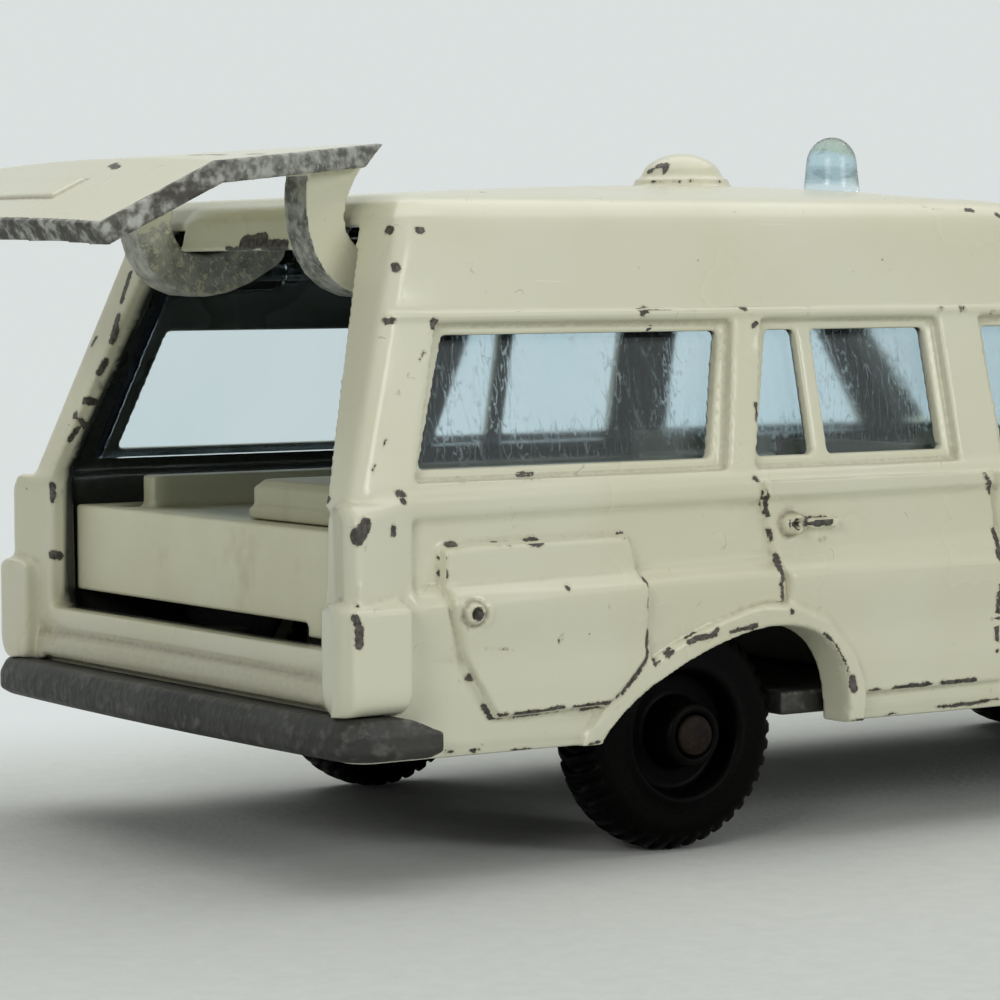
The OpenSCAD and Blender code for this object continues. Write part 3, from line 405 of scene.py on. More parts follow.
def placed(tree, group, inputs):
    """Outputs of one use of a node group."""
    return put(tree, "ShaderNodeGroup", inputs, node_tree=group).outputs


def bumped(tree, height, strength, deep_mm):
    """Normal from a height that is that deep."""
    bump = put(tree, "ShaderNodeBump", {"Height": height, "Strength": strength, "Distance": deep_mm * MM})
    return bump.outputs["Normal"]


enamel, tree, shown = new_material("cream_enamel")
wear = placed(tree, worn_away, {"Gap": field(tree, "gap"), "Ridge": field(tree, "ridge"), "Amount": 0.28})
tone = placed(tree, mottle, {"Broad": 0.12, "Fine": 4.0})
cream = between(tree, tone["Slow"], (0.735, 0.735, 0.585, 1), (0.70, 0.69, 0.525, 1))
# Darker and browner in hollows, with a mottle.
enamel_hollow_dark = calc(tree, "MULTIPLY", field(tree, "hollow"), calc(tree, "MULTIPLY_ADD", tone["Quick"], 0.6, 0.02))
cream = between(tree, enamel_hollow_dark, cream, (0.30, 0.27, 0.17, 1))
# Painted shade at the tail's foot and in the locks, and dirt round the tailgate's number place: dark brown.
soil = calc(tree, "MULTIPLY", field(tree, "soil"), calc(tree, "MULTIPLY_ADD", tone["Quick"], 0.8, 0.6))
cream = between(tree, soil, cream, (0.26, 0.225, 0.15, 1))
hair = calc(tree, "ABSOLUTE", calc(tree, "SUBTRACT", cloud(tree, in_mm(tree), 0.55, 1.0), 0.5))
hair = calc(tree, "MULTIPLY", calc(tree, "SUBTRACT", 1.0, rise_from(tree, hair, 0.002, 0.008)),
            rise_from(tree, cloud(tree, in_mm(tree), 0.9, 2.0), 0.64, 0.69))
cream = between(tree, calc(tree, "MULTIPLY", hair, 0.45), cream, (0.33, 0.30, 0.21, 1))
cells = put(tree, "ShaderNodeTexVoronoi", {"Vector": in_mm(tree), "Scale": 0.9})
lot = put(tree, "ShaderNodeSeparateColor", {0: cells.outputs["Color"]}).outputs[0]
near = calc(tree, "SUBTRACT", 1.0, rise_from(tree, cells.outputs["Distance"], 0.035, 0.06))
speck = calc(tree, "MULTIPLY", rise_from(tree, lot, 0.93, 0.95), near)
cream = between(tree, calc(tree, "MULTIPLY", speck, 0.75), cream, (0.16, 0.13, 0.08, 1))
metal = between(tree, rise_from(tree, tone["Quick"], 0.35, 0.7),
                (0.030, 0.026, 0.020, 1), (0.12, 0.11, 0.092, 1))
blotch = cloud(tree, in_mm(tree), 1.7, 8.0)
rubbed_and_lit = between(tree, rise_from(tree, blotch, 0.34, 0.66), (0.10, 0.103, 0.092, 1), (0.40, 0.41, 0.375, 1))
bright = calc(tree, "MULTIPLY", rise_from(tree, tone["Quick"], 0.5, 0.7), 0.5)
rubbed_and_lit = between(tree, bright, rubbed_and_lit, (0.55, 0.555, 0.48, 1))
tarnished = calc(tree, "MULTIPLY", field(tree, "tarnish"), rise_from(tree, blotch, 0.66, 0.36))
rubbed_and_lit = between(tree, tarnished, rubbed_and_lit, (0.05, 0.044, 0.034, 1))
# Painted light: the far arm's bare metal is made paler, against the shade it stands in.
rubbed_and_lit = between(tree, calc(tree, "MULTIPLY", field(tree, "pale"), blotch), rubbed_and_lit, (0.62, 0.62, 0.55, 1))
inside = field(tree, "inside")
bare = field(tree, "bare")
bare_edge = calc(tree, "MULTIPLY_ADD", tone["Quick"], 0.5, calc(tree, "SUBTRACT", bare, 0.25))
bare_mask = rise_from(tree, bare_edge, 0.42, 0.55)
coat = between(tree, wear["Rim"], cream, (0.50, 0.47, 0.34, 1))
coat = between(tree, wear["Mask"], coat, metal)
coat = between(tree, bare_mask, coat, rubbed_and_lit)
# Painted shade: inside the casting the coat goes near black.
shaded = between(tree, tone["Quick"], (0.010, 0.012, 0.010, 1), (0.030, 0.034, 0.029, 1))
coat = between(tree, inside, coat, shaded)
uncovered = calc(tree, "MAXIMUM", wear["Mask"], bare_mask)
rough = calc(tree, "MULTIPLY_ADD", uncovered, 0.3, calc(tree, "MULTIPLY_ADD", tone["Slow"], 0.08, 0.21))
height = calc(tree, "MULTIPLY_ADD", tone["Skin"], 0.14, calc(tree, "MULTIPLY", uncovered, -1.0))
height = calc(tree, "MULTIPLY_ADD", tone["Quick"], calc(tree, "MULTIPLY", uncovered, 0.5), height)
skin = put(tree, "ShaderNodeBsdfPrincipled", {
    "Base Color": coat, "Roughness": rough, "Metallic": calc(tree, "MULTIPLY", bare_mask, 0.2),
    "Normal": bumped(tree, height, 0.6, 0.07)})
tree.links.new(skin.outputs["BSDF"], shown.inputs["Surface"])

# Chips of the right side, each as start x, z, end x, z and radius in millimetres.
side_chips = [
    (-10.31, 18.67, -10.32, 18.05, 0.11), (-22.48, 16.15, -21.79, 16.16, 0.11),
    (-25.56, 16.1, -25.47, 16.05, 0.12), (-28.63, 15.65, -28.41, 15.64, 0.12),
    (-28.54, 15.37, -28.46, 15.33, 0.12), (-29.19, 14.28, -29.19, 14.16, 0.16),
    (-11.09, 15.66, -10.97, 15.57, 0.12), (-10.73, 15.06, -10.39, 14.07, 0.11),
    (-10.26, 13.43, -10.14, 13, 0.08), (-26.3, 13.52, -25.97, 13.55, 0.12),
    (-24.2, 13.51, -24.01, 13.5, 0.06), (-23.59, 13.45, -23.56, 13.45, 0.06),
    (-22.56, 13.47, -22.08, 13.49, 0.16), (-17.97, 13.59, -17.82, 13.58, 0.1),
    (-26.68, 13.06, -26.68, 13.02, 0.08), (-26.65, 12.46, -26.65, 12.34, 0.12),
    (-17, 11.75, -17.15, 10.68, 0.11), (-17.04, 9.56, -16.98, 8.6, 0.12),
    (-17.03, 8.4, -17.38, 7.93, 0.12), (-17.54, 7.77, -18.16, 7.15, 0.12),
    (-18.36, 7.08, -18.46, 7.01, 0.06), (-24.77, 7.01, -24.42, 6.58, 0.12),
    (-24.42, 6.58, -23.99, 6.58, 0.14), (-23.46, 6.58, -21.22, 6.67, 0.14),
    (-20.63, 6.67, -18.85, 6.75, 0.11), (-20.02, 6.55, -19.03, 6.6, 0.07),
    (-25.61, 8.28, -25.51, 8.19, 0.12), (-9.96, 12.36, -9.92, 11.31, 0.1),
    (-9.97, 11.19, -9.86, 10.46, 0.09), (-9.78, 10.06, -9.72, 9.97, 0.09), (-3.78, 6.34, -1.7, 6.37, 0.1),
    (-1.14, 6.38, 0.87, 6.38, 0.1), (-5.05, 6.29, -4.5, 6.3, 0.07), (1.33, 15.36, 1.92, 14.58, 0.11),
    (2.12, 12.9, 1.94, 11.17, 0.13), (1.95, 10.51, 2.05, 7.63, 0.13), (-6.3, 6.94, -6.17, 6.5, 0.17),
    (-7.93, 8.87, -7.54, 8.59, 0.17), (-7.3, 8.36, -6.8, 7.64, 0.15), (-6.69, 7.38, -6.47, 6.64, 0.15),
    (-12.67, 9.3, -11.36, 9.47, 0.1), (-14.23, 9.14, -13.45, 9.26, 0.1),
    (-14.74, 9.05, -14.43, 9.24, 0.17), (-13.61, 9.23, -13.4, 9.42, 0.12),
    (-15.86, 8.53, -15.62, 8.72, 0.12), (-16.52, 8.2, -16.37, 8.28, 0.1),
    (-6.28, 5.03, -5.46, 5.06, 0.09), (-4.03, 5.09, -2.66, 5.17, 0.07), (-1.55, 5.22, 0.14, 5.28, 0.07),
    (0.89, 5.27, 2.59, 5.38, 0.07), (-26.43, 5.26, -26.09, 5.24, 0.06),
    (-25.23, 5.21, -24.84, 5.18, 0.08), (-23.26, 5.05, -22.29, 5.06, 0.05),
    (-19.61, 5.06, -19.12, 5.14, 0.08), (-21.17, 11.66, -21.11, 11.57, 0.05),
    (-24.18, 9.26, -23.9, 9.32, 0.04), (-21.47, 9.49, -21.28, 9.64, 0.08),
    (-24.95, 9.38, -24.66, 9.29, 0.04), (-9.4, 13.84, -9.35, 13.92, 0.09),
    (-7.62, 12.9, -7.35, 12.97, 0.04), (-27.96, 19.61, -27.85, 19.77, 0.05),
    (-28.98, 17.56, -28.81, 17.75, 0.06), (-29.63, 16.61, -29.46, 16.8, 0.04),
    (-25.69, 10.83, -25.69, 10.83, 0.25), (-9.25, 13.66, -9.25, 13.66, 0.25),
    (-8.65, 13.72, -7.5, 13.72, 0.2), (-28.75, 7.95, -28.75, 7.1, 0.12)]
# Chips elsewhere, each as start x, y, z, end x, y, z and radius in millimetres.
other_chips = [
    (-28.02, -12.21, 22.41, -27.84, -12.29, 22.41, 0.16),
    (-25.85, -12.33, 22.35, -25.86, -12.36, 22.23, 0.18),
    (-23.59, -12.32, 22.4, -23.45, -12.32, 22.4, 0.08),
    (-21.79, -12.24, 22.75, -21.59, -12.24, 22.74, 0.12),
    (-15.65, -12.27, 22.64, -15.14, -12.27, 22.64, 0.21),
    (-14.27, -12.27, 22.63, -14.11, -12.27, 22.63, 0.1),
    (-12.87, -12.27, 22.61, -12.76, -12.27, 22.61, 0.08),
    (-10.37, -12.24, 22.76, -10.27, -12.25, 22.71, 0.15),
    (-15.1, -11.92, 21.97, -14.94, -11.91, 22.01, 0.15),
    (-9.87, -12.42, 21.99, -9.63, -12.39, 22.11, 0.11),
    (-6.85, -12.28, 22.59, -6.74, -12.28, 22.59, 0.13), (0.41, -12.28, 22.56, 0.59, -12.27, 22.61, 0.11),
    (1.69, -12.28, 22.59, 1.92, -12.28, 22.59, 0.14), (3.53, -12.3, 22.49, 3.64, -12.3, 22.49, 0.14),
    (-31.13, -14.98, 14.08, -30.7, -14.94, 14.53, 0.31),
    (-31.57, -15.5, 11.04, -31.35, -15.5, 10.56, 0.14), (-31.39, -15.5, 10.56, -31.35, -15.5, 9.98, 0.17),
    (-30.74, -12, 15.47, -30.76, -12.27, 15.41, 0.12),
    (-31.22, -14.93, 11.48, -31.21, -15.06, 11.41, 0.06),
    (-27.04, -10.75, 26.03, -27.03, -10.95, 26.03, 0.16),
    (-26.03, -11.47, 26.03, -25.88, -11.47, 26.03, 0.14),
    (-27.27, -11.7, 24.59, -27.25, -11.75, 24.51, 0.16),
    (-27.95, -12.25, 22.41, -27.88, -12.28, 22.41, 0.12),
    (-21.11, -8.6, 27.64, -20.95, -8.59, 27.65, 0.12), (-9.68, -10.86, 27, -9.61, -11.04, 26.83, 0.15),
    (-30.66, 12.11, 14.85, -30.72, 12.01, 14.22, 0.16), (-30.76, 12, 11.75, -30.36, 12, 11.68, 0.2),
    (-28.62, 10.06, 21.4, -28.29, 10.08, 22.37, 0.23), (-28.01, 10.21, 23.18, -27.62, 10.17, 24.29, 0.18),
    (-28.99, 10.54, 19.97, -28.76, 10.39, 20.41, 0.16),
    (-29.54, 10.96, 18.71, -29.02, 10.99, 18.61, 0.18),
    (-29.83, 11.39, 18.04, -29.36, 11.34, 17.58, 0.18),
    (-30.01, 11.56, 16.91, -29.69, 11.38, 17.45, 0.14),
    (-28.73, 11.79, 21.15, -28.61, 11.61, 21.47, 0.09), (-27.45, 0.14, 25.62, -27.42, -1.51, 25.73, 0.34),
    (-27.46, -1.64, 25.48, -27.45, -3.32, 25.46, 0.3), (-27.53, 1.52, 25.34, -27.55, -0.21, 25.32, 0.14),
    (-6.02, -0.34, 29.12, -5.86, -0.67, 29.16, 0.16), (-6.01, -0.86, 28.83, -5.79, -0.8, 29.16, 0.11),
    (-6.21, 0.17, 28.86, -6.18, -0.1, 28.94, 0.12), (-5.39, -1.93, 28.41, -3.78, -2.05, 28.37, 0.05),
    (-6.52, -0.57, 28.38, -5.78, -1.7, 28.36, 0.05), (1.05, -10.71, 27.15, 1.3, -10.75, 27.11, 0.13),
    (3.44, -10.83, 27.03, 3.64, -10.88, 26.99, 0.16), (5.01, -11.06, 26.81, 5.09, -11.11, 26.77, 0.14),
    (-30.36, -11.69, 16.55, -30.41, -11.85, 16.4, 0.06),
    (-26.74, -12.68, 20.85, -26.5, -12.61, 21.17, 0.05), (24.0, -11.6, 16.27, 25.3, -11.7, 16.22, 0.25),
    (31.5, 11.0, 16.01, 32.3, 11.0, 15.98, 0.25), (34.0, 4.5, 15.92, 34.5, 5.0, 15.89, 0.2),
    (20.6, -9.8, 16.38, 20.9, -9.6, 16.37, 0.25), (38.3, -8.6, 15.12, 38.3, -7.6, 15.12, 0.3),
    (38.3, 3.2, 15.12, 38.3, 4.1, 15.12, 0.28), (38.77, -11.8, 10.0, 38.77, -11.8, 10.6, 0.25),
    (33.5, -14.15, 8.0, 34.2, -14.15, 8.1, 0.2), (33.5, 14.15, 8.0, 34.0, 14.15, 7.7, 0.2),
    (21.0, -14.19, 11.9, 21.0, -14.19, 11.2, 0.18)]


def side_skin_y(z):
    """Half width of the body at a height, by the solid's own sizes.
    It is straight to the waist, then leans in to the roof."""
    return np.interp(z, [0, 4.6, 12.0, 15.4, 22.5, 25.8, 26.8, 27.4, 27.8, 28.0],
                     [13.2, 13.75, 13.85, 13.55, 12.3, 11.75, 11.3, 10.6, 9.7, 9.0])


def body_chip_gap(points, normals):
    """Gap to the nearest chip: those of the right side in the side's own plane, the others in space;
    the left side has a third of the right side's chips."""
    flat = points * (1, 0, 1)
    side = capsule_gap(flat, [(x0, 0, z0, x1, 0, z1, r) for x0, z0, x1, z1, r in side_chips])
    off_side = 5 * step_up(points[:, 1], -13.0, -12.6)
    if normals is not None:
        off_side = off_side + 0.5 * step_up(normals[:, 1], -0.55, -0.25)
    left = capsule_gap(flat, [(x0, 0, z0, x1, 0, z1, 0.9 * r) for x0, z0, x1, z1, r in side_chips[1::3]])
    off_left = 5 * step_up(-points[:, 1], -13.0, -12.6)
    if normals is not None:
        off_left = off_left + 0.5 * step_up(-normals[:, 1], -0.55, -0.25)
    return np.minimum.reduce([side + off_side, left + off_left, capsule_gap(points, other_chips)])


apron_drop, groove_z = 0.72, 8.28
flap_outline = np.array([(-26.5, 13.55), (-17.8, 13.62), (-17.15, 12.9), (-17.0, 8.5), (-18.4, 7.0),
                         (-19.0, 6.6), (-24.4, 6.5), (-25.75, 8.3), (-26.72, 12.3), (-26.75, 13.2)])
arch_edge = [(-11.0, 9.5, -9.6, 9.4), (-9.6, 9.4, -8.0, 8.8), (-8.0, 8.8, -6.85, 7.6),
             (-6.85, 7.6, -6.25, 6.4), (-6.25, 6.4, -6.1, 4.8)]
crease_z, rail_z, flange_wide = 11.9, 22.6, 0.85
flap_proud, crease_proud, flange_proud, rail_proud, ring_proud, lip_bulge = 0.2, 0.3, 0.3, 0.15, 0.24, 0.3
locks = ((-25.69, 10.83), (-9.25, 13.66))


def outline_depth(x, z, outline):
    """Distance in from a closed outline, below 0 outside it.
    It is the distance to the nearest side, with the sign by counted crossings."""
    depth, crossed = np.full(len(x), 1e9), np.zeros(len(x), bool)
    for (x0, z0), (x1, z1) in zip(outline, np.roll(outline, -1, 0)):
        square = (x1 - x0) ** 2 + (z1 - z0) ** 2
        share = np.clip(((x - x0) * (x1 - x0) + (z - z0) * (z1 - z0)) / square, 0, 1)
        depth = np.minimum(depth, np.hypot(x - x0 - share * (x1 - x0), z - z0 - share * (z1 - z0)))
        level_with = (z0 > z) != (z1 > z)
        crossed ^= level_with & (x < x0 + (z - z0) * (x1 - x0) / (z1 - z0 if z1 != z0 else 1e-9))
    return np.where(crossed, depth, -depth)


def body_shaped(points, normals, edges):
    """The tail's apron hangs over the bumper below a groove, the two locks are rings with a hole,
    the flap and the arch flange stand proud, a soft crease and a drip rail run along the side,
    and the roof's rim and the tail corners with the lamp blocks are rounder than the rest of the casting."""
    x, y, z = points.T
    wide = np.abs(y)
    points = points.copy()
    fin = step_up(wide, 13.4, 13.6) * step_up(-x, 28.3, 28.8) * (z > 7.5)
    skirt = np.maximum(step_up(-x, 30.55, 30.7) * (wide < 15.6), fin)
    points[:, 2] -= apron_drop * skirt * step_up(-z, -8.5, -7.8)
    tail_wall = step_up(-x, 30.6, 30.8) * (wide < 12.9)
    ledge = tail_wall * step_up(-points[:, 2], -groove_z, -groove_z + 0.2)
    points[:, 0] -= 0.28 * ledge
    groove = tail_wall * np.exp(-((points[:, 2] - groove_z - 0.1) / 0.16) ** 2)
    points[:, 0] += 0.12 * groove
    outer = step_up(np.abs(normals[:, 1]), 0.5, 0.8) * step_up(wide, 13.0, 13.2) * (normals[:, 1] * y > 0)
    flap = step_up(outline_depth(x, z, flap_outline), -0.04, 0.14)
    crease = step_up(-z, -crease_z - 0.15, -crease_z + 0.4)
    crease *= 1 - step_up(-z, -crease_z + 0.6, -crease_z + 3.2)
    crease *= step_up(-x, -30.0, -28.0) * step_up(x, -28.6, -28.0)
    to_arch = capsule_gap(points * (1, 0, 1), [(x0, 0, z0, x1, 0, z1, 0) for x0, z0, x1, z1 in arch_edge])
    flange = (1 - step_up(to_arch, flange_wide - 0.08, flange_wide + 0.08)) * step_up(x, -11.5, -9.8)
    points[:, 1] += np.sign(y) * outer * (flap_proud * flap + crease_proud * crease + flange_proud * flange)
    rail = np.exp(-((z - rail_z) / 0.17) ** 2)
    rail *= step_up(normals[:, 1] * np.sign(y), 0.5, 0.8) * step_up(wide, 11.7, 12.0)
    points[:, 1] += rail_proud * np.sign(y) * rail * (x < 12) * step_up(x, -28.6, -28.0)
    lip = step_up(-x, 26.0, 26.6) * step_up(z, 24.2, 24.9) * step_up(-z, -28.0, -27.3)
    points[:, 0] -= lip_bulge * lip * np.sqrt(np.clip(1 - (y / 6.2) ** 2, 0, 1))
    for lock_x, lock_z in locks:
        off = np.hypot(x - lock_x, z - lock_z)
        ring = np.exp(-((off - 0.3) / 0.11) ** 2) - np.exp(-(off / 0.16) ** 2)
        ring -= 0.4 * np.exp(-((off - 0.55) / 0.11) ** 2)
        points[:, 1] += ring_proud * np.sign(y) * ring * (wide > 13.2)
    corner = step_up(-x, 27.0, 28.2) * step_up(wide, 10.8, 11.8) * step_up(-z, -17.0, -15.6)
    roof_rim = step_up(z, 23.9, 24.8) * (z < 28.15)
    points = relaxed(points, edges, 60, corner)
    points = relaxed(points, edges, 26, roof_rim)
    shoulder = step_up(z, 24.0, 25.4) * step_up(-z, -28.1, -27.8)
    shoulder *= step_up(wide, 7.0, 8.5) * step_up(x, -25.6, -24.4)
    return relaxed(points, edges, 110, shoulder, 0.0)


def body_marks(points, normals):
    """Painted shade below the tail's groove, in it, and in the locks' groove and hole; painted shade inside,
    where a face is well in from the outer skin, and under the bonnet and the windscreen's header only where
    it also looks inwards."""
    x, y, z = points.T
    deep_side = side_skin_y(z) - np.abs(y)
    tail_x = np.interp(z, [0, 15.6, 26], [-31.0, -30.6, -26.9])
    deep = np.minimum(np.minimum(deep_side, x - tail_x), 28.0 - z)
    ahead_of_cab = step_up(x, 9.0, 12.0)
    rise = z - 16 + 10 * ahead_of_cab
    inwards = -(normals[:, 1] * y + normals[:, 2] * rise) / np.hypot(y, rise)
    within = step_up(deep, 1.3, 1.5) * (1 - ahead_of_cab)
    # Painted shade: darker below the tail's groove, in the groove, and in the locks' groove and hole.
    in_groove = 0.5 * np.exp(-((z - groove_z - 0.1) / 0.14) ** 2)
    soil = step_up(-x, 30.4, 30.7) * (0.35 * step_up(-z, -9.2, -8.0) + in_groove) * (np.abs(y) < 12.9)
    for lock_x, lock_z in locks:
        off = np.hypot(x - lock_x, z - lock_z)
        round_lock = 0.9 * np.exp(-((off - 0.5) / 0.08) ** 2) + (off < 0.16)
        soil = np.maximum(soil, round_lock * (np.abs(y) > 13))
    # Painted shade: faces well inside the casting are marked to go near black.
    lining = step_up(deep, 0.4, 0.7) * step_up(inwards, 0.0, 0.35)
    return {"soil": soil, "inside": np.maximum(within, lining) * (x < 37.5)}


cast_body = soft_piece("cast_body", "body_shell", "car", enamel, 0.13, 3, 105000,
                       body_shaped, body_chip_gap, body_marks)

# Base casting: the flat zinc base with both bumpers, bearings and rivet holes.
# Its paint is worn off, down to rough dark zinc with brighter scratches on the ridges.
zinc, tree, shown = new_material("bare_zinc")
tone = placed(tree, mottle, {"Broad": 0.25, "Fine": 1.5})
dark = between(tree, tone["Slow"], (0.022, 0.022, 0.020, 1), (0.05, 0.05, 0.045, 1))
dark = between(tree, rise_from(tree, tone["Quick"], 0.5, 0.75), dark, (0.11, 0.11, 0.10, 1))
scuffs = cloud(tree, in_mm(tree, (1.4, 0.35, 1.4)), 4.0, 4.0)
bright = calc(tree, "MULTIPLY", calc(tree, "MULTIPLY", field(tree, "ridge"), field(tree, "upper")),
              rise_from(tree, scuffs, 0.45, 0.65))
dark = between(tree, calc(tree, "MULTIPLY", bright, 0.7), dark, (0.17, 0.165, 0.15, 1))
skin = put(tree, "ShaderNodeBsdfPrincipled", {
    "Base Color": dark, "Roughness": calc(tree, "MULTIPLY_ADD", tone["Quick"], 0.3, 0.38), "Metallic": 0.4,
    "Normal": bumped(tree, calc(tree, "MULTIPLY_ADD", tone["Skin"], 0.6, tone["Quick"]), 0.6, 0.12)})
tree.links.new(skin.outputs["BSDF"], shown.inputs["Surface"])
bumper_drop = 0.6


def base_shaped(points, normals, edges):
    """The rear bumper is lower than its blank, and its ends are rounder than the plate."""
    x, y, z = points.T
    wide = np.abs(y)
    beam = np.maximum(step_up(-x, 29.9, 30.5), step_up(wide, 13.6, 14.0) * step_up(-x, 26.5, 27.5))
    points = points.copy()
    points[:, 2] -= bumper_drop * beam * np.clip((z - 5.3) / 2.3, 0, 1)
    bumper_end = step_up(-x, 25.5, 26.5) * step_up(wide, 12.6, 14.0)
    return relaxed(points, edges, 60, np.maximum(0.7 * beam, bumper_end))


def base_marks(points, normals):
    """Faces that look up or out, where the metal is scuffed bright."""
    return {"upper": step_up(normals[:, 2], -0.1, 0.4)}


base_casting = soft_piece("base_casting", "base_plate", "car", zinc, 0.12, 6, 120000, base_shaped,
                          marks=base_marks)

# Blue glazing: one clear tinted moulding inside the roof, with the beacon on top.
# Its faces are scratched, mostly up and down, and dull in patches.
blue_clear, tree, shown = new_material("blue_clear_plastic")
tone = placed(tree, mottle, {"Broad": 0.2, "Fine": 5.0})
upright_cloud = cloud(tree, in_mm(tree, (1.0, 1.0, 0.07)), 2.2, 1.0)
lines = calc(tree, "ABSOLUTE", calc(tree, "SUBTRACT", upright_cloud, 0.5))
scratch = calc(tree, "MULTIPLY", calc(tree, "SUBTRACT", 1.0, rise_from(tree, lines, 0.006, 0.03)),
               rise_from(tree, tone["Quick"], 0.38, 0.55))
rough = calc(tree, "MULTIPLY_ADD", scratch, 0.14, calc(tree, "MULTIPLY_ADD", tone["Slow"], 0.03, 0.045))
rough = calc(tree, "MULTIPLY_ADD", field(tree, "beacon"), 0.18, rough)
tint = between(tree, tone["Slow"], (0.84, 0.93, 0.97, 1), (0.80, 0.91, 0.96, 1))
tint = between(tree, field(tree, "beacon"), tint, (0.60, 0.79, 0.87, 1))
mark = rise_from(tree, cloud(tree, in_mm(tree, (1.0, 1.0, 2.4)), 0.75, 3.0), 0.56, 0.62)
mark = calc(tree, "MULTIPLY", calc(tree, "MULTIPLY", mark, field(tree, "beacon")), 0.6)
tint = between(tree, mark, tint, (0.16, 0.24, 0.28, 1))
tint = between(tree, field(tree, "rim"), tint, (0.03, 0.08, 0.22, 1))
skin = put(tree, "ShaderNodeBsdfPrincipled", {
    "Base Color": tint, "Roughness": rough, "IOR": 1.46, "Transmission Weight": 1.0})
tree.links.new(skin.outputs["BSDF"], shown.inputs["Surface"])


def glazing_marks(points, normals):
    """The beacon on top, and the moulding's rim at the tail."""
    x, y, z = points.T
    return {"beacon": step_up(z, 28.2, 28.6), "rim": step_up(-normals[:, 0], 0.5, 0.8) * (x < -20)}


blue_glazing = soft_piece("blue_glazing", "glazing", "car", blue_clear, 0.14, 8, 110000,
                          marks=glazing_marks)

# White moulding inside: bed deck, tail wall, partition, bulkhead, seats and dash in one piece.
# The plastic has yellowed a little, with brown stains; it is darker in hollows, and painted shade darkens it
# further in from the tail.
white_plastic, tree, shown = new_material("white_plastic")
tone = placed(tree, mottle, {"Broad": 0.16, "Fine": 2.5})
ivory = between(tree, tone["Slow"], (0.80, 0.80, 0.61, 1), (0.72, 0.71, 0.52, 1))
stain = rise_from(tree, cloud(tree, in_mm(tree), 0.3, 4.0), 0.58, 0.75)
ivory = between(tree, calc(tree, "MULTIPLY", stain, 0.35), ivory, (0.40, 0.33, 0.17, 1))
# Darker in hollows, with a mottle.
plastic_hollow_dark = calc(tree, "MULTIPLY", field(tree, "hollow"), calc(tree, "MULTIPLY_ADD", tone["Quick"], 0.8, 0.2))
ivory = between(tree, plastic_hollow_dark, ivory, (0.16, 0.13, 0.07, 1))
# Painted shade: darker further in from the tail, and over the whole stretcher.
ivory = between(tree, calc(tree, "MULTIPLY", field(tree, "deep"), 0.85), ivory, (0.15, 0.155, 0.09, 1))
skin = put(tree, "ShaderNodeBsdfPrincipled", {
    "Base Color": ivory, "Roughness": calc(tree, "MULTIPLY_ADD", tone["Quick"], 0.2, 0.36),
    "Normal": bumped(tree, tone["Skin"], 0.25, 0.05)})
tree.links.new(skin.outputs["BSDF"], shown.inputs["Surface"])


def inside_marks(points, normals):
    """Painted shade: the plastic is darker further in from the tail."""
    return {"deep": step_up(points[:, 0], -28.9, -26.5)}


white_inside = soft_piece("white_inside", "interior", "car", white_plastic,
                          0.15, 3, 100000, marks=inside_marks)


# Stretcher: a small loose tray with a made bed, moulded in the same white plastic.
# It lies on the bed deck and slides out over the tail.
def tray_marks(points, normals):
    """Painted shade: the whole tray is a little darker, as it lies inside."""
    return {"deep": np.full(len(points), 0.55)}


white_stretcher = soft_piece("white_stretcher", "stretcher", "stretcher", white_plastic,
                             0.11, 3, 60000, marks=tray_marks)

# Tailgate: a bent cast panel on two goose-neck arms, under the same enamel, with a bare plate for the number.
# Hands have rubbed its side edges, its foot and its arms down to grey zinc.
hinge_mm, swing = np.array([-22.6427, 0, 25.5]), math.radians(65)
plate_half, plate_low, plate_high, plate_proud = 4.3, 11.75, 13.5, 0.12
gate_chips = [(2.23, -5.2, 17.83, 2.33, -7.5, 17.86, 0.2), (2.57, -8.64, 18.42, 2.67, -9.2, 18.62, 0.2),
              (1.4, -4.0, 14.9, 1.4, -4.9, 14.6, 0.2), (1.2, -7.4, 10.4, 1.2, -8.2, 10.5, 0.15),
              (3.9, -9.55, 22.3, 4.1, -9.2, 22.9, 0.12), (1.3, -11.3, 14.6, 1.2, -11.2, 13.6, 0.15),
              (1.2, 8.2, 13.9, 1.2, 9.6, 13.7, 0.12), (2.3, 7.2, 17.6, 2.4, 8.4, 17.7, 0.12)]


def shut(points):
    """Points turned back about the hinge to the closed place, in the unshifted sizes of the drawing."""
    x, y, z = (points - hinge_mm).T
    return np.stack([x * math.cos(swing) - z * math.sin(swing) + 9.8, y,
                     x * math.sin(swing) + z * math.cos(swing) + 25.5], 1)


def gate_shaped(points, normals, edges):
    """The number's place stands a little proud of the lower panel's outer face.
    The upper corners are rounder than the rest."""
    x, y, z = shut(points).T
    face = step_up(-(normals @ (math.cos(swing), 0, -math.sin(swing))), 0.6, 0.9) * (x < 1.9)
    plate = step_up(plate_half - np.abs(y), 0, 0.12) * step_up(z - plate_low, 0, 0.12)
    plate *= step_up(plate_high - z, 0, 0.12)
    points = points + (plate_proud * face * plate)[:, None] * normals
    tip = step_up(z, 22.0, 24.0) * step_up(np.abs(y), 6.3, 7.3) * (x < 7)
    return relaxed(points, edges, 60, tip)


